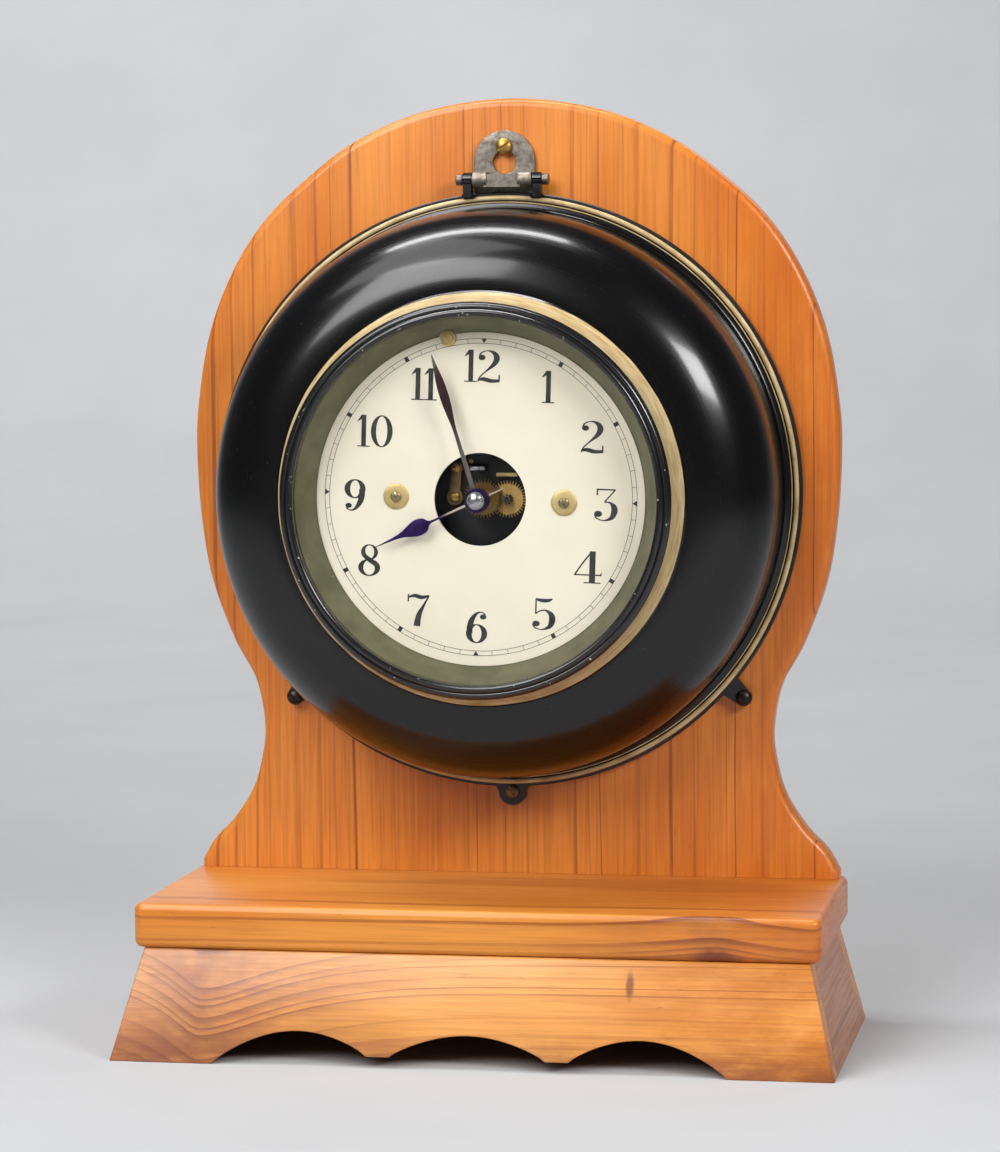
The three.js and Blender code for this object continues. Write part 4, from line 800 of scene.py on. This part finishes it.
HAIR = 0.035
STEM = 0.15
FIGURES = {
    "0": [oval(0, 0.5, 0.29, 0.5, 0.15, 0.465)],
    "1": [
        bar(-STEM / 2, STEM / 2, 0, 1.0),
        bar(-0.2, 0.2, 0, HAIR),
        [[(-STEM / 2, 1.0), (-STEM / 2, 0.86), (-0.2, 0.78), (-0.2, 0.815)]],
    ],
    "2": [
        ball(-0.17, 0.77, 0.085),
        pen([(-0.24, 0.76), (-0.19, 0.91), (-0.02, 0.982), (0.14, 0.9), (0.19, 0.74), (0.12, 0.56),
             (-0.05, 0.36), (-0.2, 0.18), (-0.26, 0.02)],
            [0.04, 0.04, 0.04, 0.13, 0.17, 0.13, 0.05, 0.04, 0.04]),
        pen([(-0.26, 0.07), (-0.12, 0.1), (0.06, 0.05), (0.27, 0.06)], [0.06, 0.13, 0.13, 0.09]),
        bar(0.24, 0.275, 0.03, 0.24),
    ],
    "3": [
        bar(-0.22, 0.24, 0.955, 1.0),
        bar(-0.22, -0.185, 0.8, 1.0),
        pen([(0.23, 0.98), (0.1, 0.78), (-0.02, 0.6)], [0.04, 0.04, 0.04]),
        pen([(-0.03, 0.59), (0.1, 0.58), (0.2, 0.47), (0.22, 0.3), (0.15, 0.1), (-0.03, 0.02),
             (-0.2, 0.08), (-0.25, 0.2)],
            [0.04, 0.06, 0.15, 0.18, 0.12, 0.04, 0.04, 0.05]),
        ball(-0.17, 0.22, 0.095),
    ],
    "4": [
        bar(0.05, 0.05 + STEM, 0, 1.0),
        bar(-0.08, 0.34, 0, HAIR),
        bar(-0.33, 0.36, 0.24, 0.28),
        pen([(0.1, 0.98), (-0.12, 0.62), (-0.31, 0.26)], [0.05, 0.045, 0.045]),
        [[(0.3, 0.24), (0.36, 0.24), (0.36, 0.36)]],
    ],
    "5": [
        pen([(-0.19, 0.97), (-0.05, 0.93), (0.1, 0.93), (0.22, 0.99)], [0.06, 0.12, 0.12, 0.03]),
        bar(-0.2, -0.165, 0.5, 0.98),
        pen([(-0.18, 0.51), (-0.08, 0.6), (0.06, 0.62), (0.19, 0.5), (0.22, 0.32), (0.16, 0.12),
             (-0.02, 0.02), (-0.19, 0.07), (-0.25, 0.18)],
            [0.035, 0.04, 0.06, 0.15, 0.18, 0.13, 0.04, 0.04, 0.05]),
        ball(-0.17, 0.2, 0.09),
    ],
    "6": [
        oval(0.01, 0.3, 0.26, 0.3, 0.12, 0.262),
        pen([(-0.16, 0.3), (-0.16, 0.5), (-0.11, 0.74), (0.0, 0.93), (0.12, 0.975), (0.22, 0.9)],
            [0.16, 0.17, 0.15, 0.08, 0.04, 0.04]),
        ball(0.16, 0.83, 0.08),
    ],
    "7": [
        pen([(-0.24, 0.9), (-0.1, 0.955), (0.08, 0.91), (0.26, 0.97)], [0.05, 0.12, 0.13, 0.05]),
        bar(-0.27, -0.235, 0.76, 1.0),
        pen([(0.255, 0.96), (0.13, 0.66), (0.02, 0.36), (-0.03, 0.0)], [0.04, 0.07, 0.15, 0.19]),
    ],
    "8": [
        oval(0, 0.755, 0.21, 0.245, 0.115, 0.21),
        oval(0, 0.27, 0.27, 0.27, 0.145, 0.232),
        pen([(-0.15, 0.84), (-0.13, 0.66), (0.02, 0.5), (0.18, 0.36), (0.19, 0.18)],
            [0.1, 0.13, 0.15, 0.15, 0.12]),
    ],
}
# The nine is the six turned round
FIGURES["9"] = [[[(-x, 1 - y) for x, y in loop] for loop in loops] for loops in FIGURES["6"]]
WIDTH = 0.72
WIDTHS = {"1": 0.41, "0": 0.74}
BROAD = 1.3
BROADS = {"1": 1.0, "0": 1.2, "4": 1.26}
PLACES = {
    "12": (1.9, 68.9), "1": (36.4, 58.1), "2": (59.1, 32.4), "3": (65.7, -2.6), "4": (56.1, -34.7),
    "5": (32.9, -59.2), "6": (-2.4, -66.3), "7": (-33.0, -57.7), "8": (-58.8, -31.8), "9": (-65.9, 2.1),
    "10": (-54.9, 35.4), "11": (-28.7, 59.7),
}
FIGURE_H = 16.6
TRACK_X = 0.1
TRACK_Z = 1.0
TRACK_IN = 79.7
TRACK_OUT = 82.1
TRACK_HALF = 0.12
INK_U = DIAL_U + 0.03
INK_T = 0.05
TICK_T = 0.06
STROKE_STEP = 0.004

# Each stroke stands a little above the one before
def figures():
    parts = []
    for text, (x, z) in PLACES.items():
        left = -sum(WIDTHS.get(c, WIDTH) for c in text) / 2
        for c in text:
            wide = WIDTHS.get(c, WIDTH)
            broad = BROADS.get(c, BROAD)
            middle = left + wide / 2
            for k, loops in enumerate(FIGURES[c]):
                sized = []
                for loop in loops:
                    sized.append([((middle + a * broad) * FIGURE_H, (b - 0.5) * FIGURE_H) for a, b in loop])
                mesh = slab_mesh("figure", sized, INK_U, INK_U + INK_T + STROKE_STEP * k)
                mesh.transform(turned(DIAL_TURN, x, z))
                parts.append(mesh)
            left += wide
    return merged("dial_figures", parts, mat_ink)

# Minute track: two lines, ticks, bars at the hours and points at the quarters
def track():
    parts = []
    for r in (TRACK_IN, TRACK_OUT):
        rings = [circle(r + side, TRACK_X, TRACK_Z, 180) for side in (TRACK_HALF, -TRACK_HALF)]
        parts.append(slab_mesh("line", rings, INK_U, INK_U + INK_T))
    for minute in range(60):
        if minute % 15 == 0:
            loop = [(-1.5, TRACK_OUT), (1.5, TRACK_OUT), (0.0, TRACK_IN)]
        else:
            half, over = (1.05, 0.15) if minute % 5 == 0 else (0.11, 0.0)
            low, high = TRACK_IN - over, TRACK_OUT + over
            loop = [(-half, high), (half, high), (half, low), (-half, low)]
        mesh = slab_mesh("tick", [loop], INK_U, INK_U + TICK_T)
        mesh.transform(turned(minute * 6 + DIAL_TURN, TRACK_X, TRACK_Z))
        parts.append(mesh)
    return merged("dial_track", parts, mat_ink)

settle(figures(), "stand", "cream")
settle(track(), "stand", "cream")

# Slotted screw: shank, domed or grooved head, slot at a clock direction
def screw(cad, x, z, shank, tip, head, slot, material, finish, groove=0.0):
    head_u, head_r, head_h, dome = head
    seat = head_u + head_h * (1 - dome)
    profile = [(0, tip), (shank, tip), (shank, head_u), (head_r, head_u)]
    if groove:
        profile.append((head_r, seat))
        profile += [(head_r * share, head_u + head_h - drop * groove) for share, drop in GROOVED]
    else:
        profile += arc(head_r, 0, seat, 0, 90, 10, head_h * dome)
    body = lathe(cad + "_head", profile, material, 48, x, z)
    reach = head_r * 1.2
    half = head_r * SLOT_HALF
    low, high = head_u + head_h * 0.6, head_u + head_h * 1.3
    cutter = block("cutter", -reach, reach, low, high, -half, half, slot, x, z)
    settle(combine(body, [cutter]), "stand", finish, cad)

SLOT_HALF = 0.13
# Grooved head: share of its radius, share of the groove's depth
GROOVED = [(0.95, 1 / 7), (0.86, 0.0), (0.80, 0.0), (0.76, 1.0), (0.60, 1.0), (0.56, 0.0), (0.0, 0.0)]
WOOD_TIP = -11.8
DIAL_TIP = 72.0
# Heads: seat, radius, height, domed share of the height
HANGER_HEAD = (3.2, 4.5, 3.4, 0.8)
LUG_HEAD = (5.3, 4.1, 3.2, 0.8)
BOTTOM_HEAD = (5.3, 3.6, 2.4, 0.7)
DIAL_HEAD = (81.3, 2.7, 1.7, 0.5)
EDGE_HEAD = (80.1, 4.2, 1.6, 0.4)
# Lugs of the back plate: place, radius of the screw's shank, half width
LEFT_LUG, RIGHT_LUG, BOTTOM_LUG = LUGS = [
    (*clockwise(162.5, -133.7), 1.9, 4.6),
    (*clockwise(168.3, 130.7), 1.9, 4.6),
    (*clockwise(162.0, 179.2), 1.7, 7.6),
]
screw("hanger_screw", 0, 183.7, 2.3, WOOD_TIP, HANGER_HEAD, -34, mat_brass, "brass")
screw("lug_screw_left", *LEFT_LUG[:3], WOOD_TIP, LUG_HEAD, 40, mat_dark, "darksteel")
screw("lug_screw_right", *RIGHT_LUG[:3], WOOD_TIP, LUG_HEAD, 70, mat_dark, "darksteel")
# The bottom screw takes the darker brown brass as painted shade, for the shadow under the case
screw("lug_screw_bottom", *BOTTOM_LUG[:3], WOOD_TIP, BOTTOM_HEAD, 60, mat_brown_brass_and_shade, "brass")
screw("dial_screw_left", -screw_x, -screw_z, 1.4, DIAL_TIP, DIAL_HEAD, 62, mat_screw, "brass")
screw("dial_screw_right", screw_x, screw_z, 1.4, DIAL_TIP, DIAL_HEAD, 75, mat_screw, "brass")
screw("dial_edge_screw", edge_x, edge_z, 1.3, DIAL_TIP, EDGE_HEAD, 55, mat_brass_pale, "brass", 0.7)

cup_profile = [
    (1.9, 80.1), (6.6, 80.1), (6.7, 80.3), (6.6, 80.6), (6.2, 80.85), (5.4, 81.0), (3.4, 81.08), (1.9, 81.08),
]
for side, sign in (("left", -1), ("right", 1)):
    cup = lathe(f"dial_cup_{side}", cup_profile, mat_brass_pale, 64, sign * screw_x, sign * screw_z)
    settle(cup, "stand", "brass", f"dial_washer_{side}")

# Outline of a hand that points up: one side of its blade, hub and tail, mirrored
def hand_loop(side, tail, hub):
    right = spline(side, 6)
    start = math.degrees(math.asin(min(right[0][0] / hub, 1.0)))
    end = 180.0 - (math.degrees(math.asin(tail[0][0] / hub)) if tail else 0.0)
    around = arc(hub, 0, 0, 90 - start, 90 - end, 16)[1:-1]
    half = right[::-1] + around + tail
    return half + [(-x, z) for x, z in reversed(half) if x > 1e-6]

HAND_EDGE = 0.14
hour_side = [
    (0.62, 6.1), (0.56, 16), (0.6, 26), (1.3, 28.6), (3.4, 30.6), (4.3, 33.6), (4.0, 36.8), (2.9, 40.0),
    (1.6, 43.6), (0.85, 48), (0.5, 53), (0.18, 59.5),
]
minute_side = [
    (1.25, 5.3), (1.15, 20), (0.95, 37), (1.35, 43), (2.1, 50), (2.4, 57), (2.1, 64), (1.2, 71), (0.2, 78.5),
]
hour_outline = [hand_loop(hour_side, [(0.6, -6.1), (0.22, -15)], 6.2), circle(4.6, steps=40)]
minute_outline = [hand_loop(minute_side, [], 5.4), circle(3.2, steps=40)]
hour_hand = slab("hour_hand_pear", hour_outline, 85.2, 86.0, mat_hour, HAND_EDGE, 2, HOUR_ANGLE)
settle(hour_hand, "hour", "blued", "hour_hand")
minute_hand = slab("minute_hand_leaf", minute_outline, 88.3, 89.1, mat_browned, HAND_EDGE, 2, MINUTE_ANGLE)
settle(minute_hand, "minute", "blued", "minute_hand")
collet = [(3.2, 89.2), (6.2, 89.2), (6.4, 89.4), (6.4, 90.0), (6.1, 90.35), (3.2, 90.4)]
settle(lathe("minute_collet_ring", collet, mat_blued, 72), "minute", "blued", "minute_collet")

NUT_R = 4.7
NUT_U = 91.9
NUT_DOME = 3.2

# Domed nut, its slot in line with the hour hand
def dome_nut():
    profile = [(0, 93.2), (1.8, 93.2), (1.8, 90.5), (NUT_R - 0.1, 90.5), (NUT_R, 90.6)]
    profile += arc(NUT_R, 0, NUT_U, 0, 90, 14, NUT_DOME)
    body = lathe("dome_nut", profile, mat_nut, 64)
    cutter = block("cutter", -0.5, 0.5, 93.8, 96.5, -5, 5, HOUR_ANGLE)
    return combine(body, [cutter])

settle(dome_nut(), "minute", "steel", "centre_nut")

# Hanger with keyhole and barrels, and the hinge pin
PIN_U = 8.6
PIN_Z = 166.0
HANGER_HALF = 16.5
HANGER_ARCH_Z = 175.7
KEY_R = 6.2
KEY_Z = 175.4
KEY_SLOT = 2.6
KEY_TOP = 183.5

def hanger():
    foot = PIN_Z - 24
    loop = [(-HANGER_HALF, foot), (HANGER_HALF, foot)] + arc(HANGER_HALF, 0, HANGER_ARCH_Z, 0, 180, 36)
    meet = math.degrees(math.acos(KEY_SLOT / KEY_R))
    key = arc(KEY_SLOT, 0, KEY_TOP, 0, 180, 12) + arc(KEY_R, 0, KEY_Z, 180 - meet, 360 + meet, 40)
    body = slab("hanger_cast", [loop, key], 0.1, 3.1, mat_grey, 0.5, 2)
    tools = []
    for x0, x1 in ((-16.0, -8.3), (8.3, 16.0)):
        barrel = [(0, x0), (4.1, x0), (4.3, x0 + 0.3), (4.3, x1 - 0.3), (4.1, x1), (0, x1)]
        tools.append(lathe_x("barrel", barrel, mat_grey, PIN_U, PIN_Z, 32))
        tools.append(block("web", x0 + 0.1, x1 - 0.1, 1.5, PIN_U, PIN_Z - 3.9, PIN_Z + 3.9))
    tools.append(block("bridge", -9.8, 9.8, 1.6, PIN_U + 3.2, PIN_Z - 3.9, PIN_Z + 2.8))
    body = combine(body, tools, "UNION")
    bore = lathe_x("bore", [(0, -40), (2.3, -40), (2.3, 40), (0, 40)], mat_grey, PIN_U, PIN_Z, 24)
    return combine(body, [bore])

settle(hanger(), "stand", "cast", "hanger_bracket")
pin_half = [(0, 25), (2.6, 25), (3.0, 24.6), (3.0, 21.7), (2.7, 21.3), (2.0, 21.3)]
pin_profile = [(r, -x) for r, x in pin_half] + pin_half[::-1]
settle(lathe_x("hinge_pin_rod", pin_profile, mat_pin, PIN_U, PIN_Z, 32), "stand", "darksteel", "hinge_pin")

# Back plate: pan with a ring inside the case, and its three lugs
def back_plate():
    ring = WALL_R - SHEET - 0.6
    pan = [
        (0, 3.2), (159.0, 3.2), (159.5, 3.7), (159.5, 4.7), (159.0, 5.2), (ring, 5.2), (ring, 12.7),
        (ring - 0.4, 13.0), (ring - 1.7, 13.0), (ring - 2, 12.7), (ring - 2, 5.2), (0, 5.2),
    ]
    plate = lathe("back_pan", pan, mat_black, 160)
    tools, bores = [], []
    for x, z, r, half in LUGS:
        root = half * 1.5
        loop = [(-root, 153.5), (root, 153.5)] + arc(half, 0, math.hypot(x, z), 0, 180, 18)
        turn = math.degrees(math.atan2(x, z))
        tools.append(slab("lug", [loop], 3.25, 5.15, mat_black, 0.0, 0, turn))
        bore = [(0, 2), (r + 0.3, 2), (r + 0.3, 7), (0, 7)]
        bores.append(lathe("bore", bore, mat_black, 24, x, z))
    plate = combine(plate, tools, "UNION")
    return combine(plate, bores)

settle(back_plate(), "stand", "black", "back_plate")

# Solids that keep their shape: finish, eased edge, names
KEPT = [
    (mat_brass, 0.2, [
        "pillar_1", "pillar_2", "pillar_3", "pillar_4", "movement_plate_rear", "dial_post_left",
        "dial_post_right", "dial_post_top", "cock_screw_lower", "cock_screw_upper", "suspension_block",
        "contact_fork", "magnet_bracket_left", "magnet_bracket_right",
    ]),
    (wood_side, 0.8, ["side_panel_left", "side_panel_right"]),
    (wood_apron, 0.8, ["rear_panel"]),
    (mat_gloss, 0.5, ["hinge_lug_left", "hinge_lug_right"]),
    (mat_gear, 0.06, ["centre_arbor", "third_wheel", "ratchet_wheel"]),
    (mat_black, 0.2, ["movement_plate_front"]),
    (mat_brass_pale, 0.2, ["brass_lever"]),
    (mat_steel, 0.08, ["cannon_pinion"]),
    (mat_steel, 0.2, ["pendulum_rod"]),
    (mat_steel, 0.1, ["battery_clip"]),
    (mat_winding, 0.2, ["pendulum_coil"]),
    (mat_red, 0.4, ["magnet"]),
    (mat_paper, 0.6, ["battery"]),
]
for material, width, names in KEPT:
    for name in names:
        node = nodes[name]
        node.data.materials.clear()
        node.data.materials.append(material)
        ease = node.modifiers.new("eased", "BEVEL")
        ease.width = width * MM
        ease.segments = 2
        ease.limit_method = "ANGLE"
        ease.angle_limit = radians(38)

# Motion work: teeth as modules out from the pitch circle and shares of the pitch
WHEEL_TEETH = 36
CANNON_LEAVES = 12
STAR_LEAVES = 9
WHEEL_T = 1.6
PIPE_IN = 3.3
PIPE_R = 4.3
OVERLAP = 0.5
WHEEL_TOOTH = ((-2.7, -0.22), (0.7, -0.08), (0.7, 0.08), (-2.7, 0.22))
LEAF = ((-1.2, -0.15), (0.55, -0.06), (0.55, 0.06), (-1.2, 0.15))

def toothed(teeth, module, tooth, direction, x=0.0, z=0.0):
    pitch = 2 * pi / teeth
    loop = []
    for i in range(teeth):
        for out, share in tooth:
            r = module * (teeth / 2 + out)
            a = direction + (i + share) * pitch
            loop.append((x + r * cos(a), z + r * sin(a)))
    return loop

# Minute wheel with its star, hour wheel with its pipe, on the axes of their solids
def motion_wheels():
    x, z, rear, front = spot_of("minute_wheel")
    apart = math.hypot(x, z)
    away = math.atan2(z, x)
    back = away + pi
    half_pitch = pi / WHEEL_TEETH
    module = 2 * apart / (CANNON_LEAVES + WHEEL_TEETH)
    rim = [toothed(WHEEL_TEETH, module, WHEEL_TOOTH, back + half_pitch, x, z), circle(1.6, x, z, 24)]
    wheel = slab("minute_wheel_cut", rim, rear, rear + WHEEL_T, mat_motion)
    module = 2 * apart / (STAR_LEAVES + WHEEL_TEETH)
    leaves = [toothed(STAR_LEAVES, module, LEAF, back, x, z), circle(1.5, x, z, 24)]
    star = slab("star", leaves, rear + WHEEL_T - OVERLAP, front, mat_motion)
    settle(combine(wheel, [star], "UNION"), "motion", "brass", "minute_wheel")
    rear, front = spot_of("hour_wheel")[2:]
    rim = [toothed(WHEEL_TEETH, module, WHEEL_TOOTH, away + half_pitch), circle(PIPE_IN + 0.3)]
    wheel = slab("hour_wheel_cut", rim, rear, rear + WHEEL_T, mat_gear)
    inside = rear + OVERLAP
    profile = [(PIPE_IN, inside), (PIPE_R, inside), (PIPE_R, front), (PIPE_IN, front)]
    pipe = lathe("pipe", profile, mat_gear, 48)
    settle(combine(wheel, [pipe], "UNION"), "hour", "brass", "hour_wheel")

motion_wheels()
COCK_WAIST = 2.9
COCK_BORE = 1.6

# Cock: two round eyes on its screws, joined by a waisted web
def cock():
    rear, front = spot_of("motion_cock")[2:]
    x0, z0 = spot_of("cock_screw_lower")[:2]
    x1, z1 = spot_of("cock_screw_upper")[:2]
    mid_x, mid_z = (x0 + x1) / 2, (z0 + z1) / 2
    loop = arc(4.5, x0, z0, 130, 410, 32) + [(mid_x + COCK_WAIST, mid_z)]
    loop += arc(3.5, x1, z1, -40, 220, 28) + [(mid_x - COCK_WAIST, mid_z)]
    holes = [circle(COCK_BORE, x0, z0, 24), circle(COCK_BORE, x1, z1, 24)]
    return slab("cock_bar", [loop] + holes, rear, front, mat_brown_brass_and_shade, 0.25, 2)

settle(cock(), "stand", "brass", "motion_cock")
stud_profile = [
    (0, -8.0), (1.7, -8.0), (2.05, -7.6), (2.1, -7.0), (2.1, -3.4), (1.8, -3.2), (1.8, -2.8), (2.1, -2.6),
    (2.1, -0.6), (1.9, 0.1), (1.4, 0.5), (0, 0.6),
]
settle(lathe_x("steel_stud", stud_profile, mat_nut, 64.4, 15.45, 36), "stand", "steel", "steel_block")

# Floor that bends up into a backdrop, in metres
def sweep(near, bend, radius, top, half, steps):
    line = [(near, 0.0)] + arc(radius, bend, radius, -90, 0, steps) + [(bend + radius, top)]
    points = []
    for y, z in line:
        points += [(-half, y, z), (half, y, z)]
    faces = [(2 * i, 2 * i + 1, 2 * i + 3, 2 * i + 2) for i in range(len(line) - 1)]
    mesh = bpy.data.meshes.new("floor_sweep")
    mesh.from_pydata(points, [], faces)
    pale_grey = paint("floor_grey", (175, 176, 178), (180, 181, 183), 0.85, 3.0)
    return dress("floor_sweep", mesh, pale_grey, 60.0)

sweep(near=-4.5, bend=2.2, radius=1.5, top=4.5, half=5.5, steps=16)

# Soft light that faces a target, in metres and watts
def softbox(name, place, target, wide, high, power):
    data = bpy.data.lights.new(name, "AREA")
    data.shape = "RECTANGLE"
    data.size = wide
    data.size_y = high
    data.energy = power
    lamp = bpy.data.objects.new(name, data)
    scene.collection.objects.link(lamp)
    lamp.location = place
    lamp.rotation_euler = (Vector(target) - Vector(place)).to_track_quat("-Z", "Y").to_euler()

CENTRE = (0.0, 0.0, 0.26)
softbox("front", (-0.90, -1.98, 1.66), CENTRE, 1.35, 1.25, 47.0)
softbox("left", (-0.80, -0.80, 2.02), CENTRE, 1.3, 1.1, 15.0)
softbox("overhead", (-0.44, 0.06, 2.28), (-0.44, -0.20, 0.3), 1.6, 0.24, 29.0)
softbox("right", (1.62, -1.28, 1.34), CENTRE, 0.80, 0.54, 32.0)
softbox("backdrop", (-1.2, 1.3, 2.3), (-0.6, 3.7, 1.8), 2.0, 0.8, 84.0)
softbox("rear", (0.9, 2.4, 1.9), CENTRE, 1.0, 1.0, 6.0)
world = bpy.data.worlds.new("studio")
world.use_nodes = True
glow = world.node_tree.nodes["Background"].inputs
glow["Color"].default_value = (0.80, 0.81, 0.84, 1.0)
glow["Strength"].default_value = 0.10
scene.world = world
scene.view_settings.view_transform = "Standard"
scene.view_settings.look = "None"

SENSOR = 36.0
PHOTO_H = 1152

# Camera at the photograph's viewpoint: millimetres, degrees, focal length in pixels
def place_camera(place, yaw, pitch, roll, focal):
    turn = Matrix.Translation(Vector(place) * MM)
    for degrees, axis in ((yaw, "Z"), (90 + pitch, "X"), (roll, "Z")):
        turn = turn @ Matrix.Rotation(radians(degrees), 4, axis)
    data = bpy.data.cameras.new("camera")
    data.sensor_fit = "VERTICAL"
    data.sensor_height = SENSOR
    data.lens = focal / PHOTO_H * SENSOR
    camera = bpy.data.objects.new("camera", data)
    scene.collection.objects.link(camera)
    camera.matrix_world = turn
    scene.camera = camera

place_camera((375.64, -1989.0, 408.85), 10.59, -4.63, -0.44, 3884.89)
